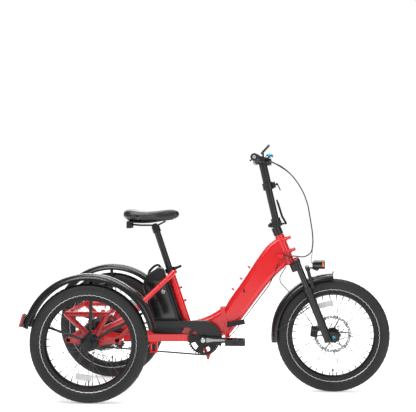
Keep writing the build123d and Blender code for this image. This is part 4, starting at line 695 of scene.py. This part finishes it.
def cables():
    """The three cables of the CAD, parted at the same two ties; each length is baked in place on no body."""
    pivot = bar_point(LEVER_Y)
    lx, lz = pivot[0] + LEVER_AHEAD, pivot[2] - 10
    inner = LEVER_Y - 30 - 1.7
    clamp = post(BAR_RISE, 23.8)
    starts = ([(lx - 6, inner, lz + 2), (795, 105, lz + 7), (852, 8, 1066)],
              [(clamp[0], -12, clamp[2]), (845, -27, 1064)],
              [(lx - 6, -inner, lz + 2), (795, -112, lz + 4), (850, -58, 1062)])
    lengths = {"upper": [], "middle": [], "lower": []}
    for y, start in zip(TRUNK_Y, starts):
        trunk = [np.array([x, y, z], float) for x, z in TRUNK]
        upper_tie, lower_tie = ((trunk[k - 1] + trunk[k]) / 2 for k in (UPPER_TIE, LOWER_TIE))
        lengths["upper"].append([*start, *trunk[:UPPER_TIE], upper_tie])
        lengths["middle"].append([upper_tie, *trunk[UPPER_TIE:LOWER_TIE], lower_tie])
        lengths["lower"].append([lower_tie, *trunk[LOWER_TIE:]])
    for key, paths in lengths.items():
        points, faces = joined([tube(route(p), 2.6) for p in paths])
        obj = object_from(f"{key}_cables", points, faces, [CABLE], None)
        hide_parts(f"cables_{key}")
        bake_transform(obj)


cables()


def loose_cable(name, path, radius, bodies):
    """A single cable; with one body it rides on that body, with two it is baked in place on no body."""
    points, faces = tube(route(path), radius, 10)
    if len(bodies) == 1:
        object_from(name, points, faces, [CABLE], bodies[0])
        return
    obj = object_from(name, points, faces, [CABLE], None)
    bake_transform(obj)


MOTOR_RUN = [(846, -30, 604), (838, -29, 588), (828, -22, 566), (804, -20, 506), (744, -20, 427),
             (676, -20, 335), (642, -18, 288), (614, -16, 256)]
HOSE_RUN = [(880, -24, 590), (866, -8, 566), (850, 14, 540), (852, 34, 510), (878, 50, 482), (905, 58, 455)]
CALIPER_RUN = [HOSE_RUN[-1], (946, 64, 392), (990, 60, 332), (1007, 46, 303)]
LAMP_RUN = [(1003.5, -24, 727), (1003, -18, 660), (996, -6, 612), (1004, 0, 600)]
loose_cable("motor_cable", MOTOR_RUN, 2.2, ("front_half",))
loose_cable("front_brake_hose", HOSE_RUN, 2.0, ("front_half", "steering"))
loose_cable("caliper_hose", CALIPER_RUN, 2.0, ("steering", "fork_legs"))
loose_cable("lamp_wire", LAMP_RUN, 1.5, ("steering", "fork_legs"))

# ---- floor, light and camera ---------------------------------------------------------------------
FLOOR_HALF = 14
FLOOR_GLOW, LIT_R, FAR_R = 0.52, 1.0, 3.0
SKY_ON_OBJECT, SKY_SEEN = 0.24, 1.0


def white_floor():
    """A plain floor that glows more where the lights no longer reach, so that it stays even."""
    h = FLOOR_HALF
    mesh = bpy.data.meshes.new("floor")
    mesh.from_pydata([(-h, -h, 0), (h, -h, 0), (h, h, 0), (-h, h, 0)], [], [(0, 1, 2, 3)])
    board = finish("matt white board", "#f4f4f4", 0.9, glow=FLOOR_GLOW)
    tree = board.node_tree
    place = node(tree, "ShaderNodeTexCoord").outputs["Object"]
    away = node(tree, "ShaderNodeVectorMath", [("Vector", place)], operation="LENGTH").outputs["Value"]
    glow = ramp(tree, away, (LIT_R, FAR_R, FLOOR_GLOW, 1.0))
    tree.links.new(glow, tree.nodes["Principled BSDF"].inputs["Emission Strength"])
    mesh.materials.append(board)
    floor = bpy.data.objects.new("floor", mesh)
    bpy.context.scene.collection.objects.link(floor)


def white_sky():
    """A white surround, brighter to the camera than to the object."""
    world = bpy.data.worlds.new("studio")
    bpy.context.scene.world = world
    world.use_nodes = True
    tree = world.node_tree
    sky = tree.nodes["Background"]
    sky.inputs["Color"].default_value = (1.0, 1.0, 1.0, 1.0)
    seen = node(tree, "ShaderNodeLightPath").outputs["Is Camera Ray"]
    tree.links.new(ramp(tree, seen, (0.0, 1.0, SKY_ON_OBJECT, SKY_SEEN)), sky.inputs["Strength"])


def softbox(name, at, aim, size, power):
    """A rectangular light, its sizes and place in metres, turned to face a point."""
    data = bpy.data.lights.new(name, "AREA")
    data.shape, data.size, data.size_y, data.energy = "RECTANGLE", size[0], size[1], power
    obj = bpy.data.objects.new(name, data)
    bpy.context.scene.collection.objects.link(obj)
    obj.location = at
    obj.rotation_euler = (Vector(aim) - Vector(at)).to_track_quat("-Z", "Y").to_euler()


def place_camera():
    """A level, slightly turned view from the right, almost square to the wheels."""
    camera = bpy.data.objects.new("camera", bpy.data.cameras.new("camera"))
    bpy.context.scene.collection.objects.link(camera)
    camera.data.sensor_fit = "HORIZONTAL"
    camera.data.sensor_width = 36.0
    camera.data.lens = 91.41
    camera.location = (0.8097 - MID_X / 1000, -4.9998, 0.9115)
    camera.rotation_euler = (radians(90 - 0.429), 0.0, radians(3.427))
    bpy.context.scene.camera = camera


white_floor()
white_sky()
softbox("key", (-1.2, -2.6, 3.2), (0, 0, 0.5), (2.4, 1.6), 84)
softbox("fill", (2.6, -2.4, 1.6), (0.2, 0, 0.5), (1.4, 2.0), 24)
softbox("top", (0.2, 0.4, 3.8), (0, 0, 0.4), (3.2, 2.4), 116)
softbox("back", (-0.6, 3.2, 2.2), (0, 0, 0.6), (3.0, 1.4), 46)
place_camera()
bpy.context.scene.view_settings.view_transform = "Standard"
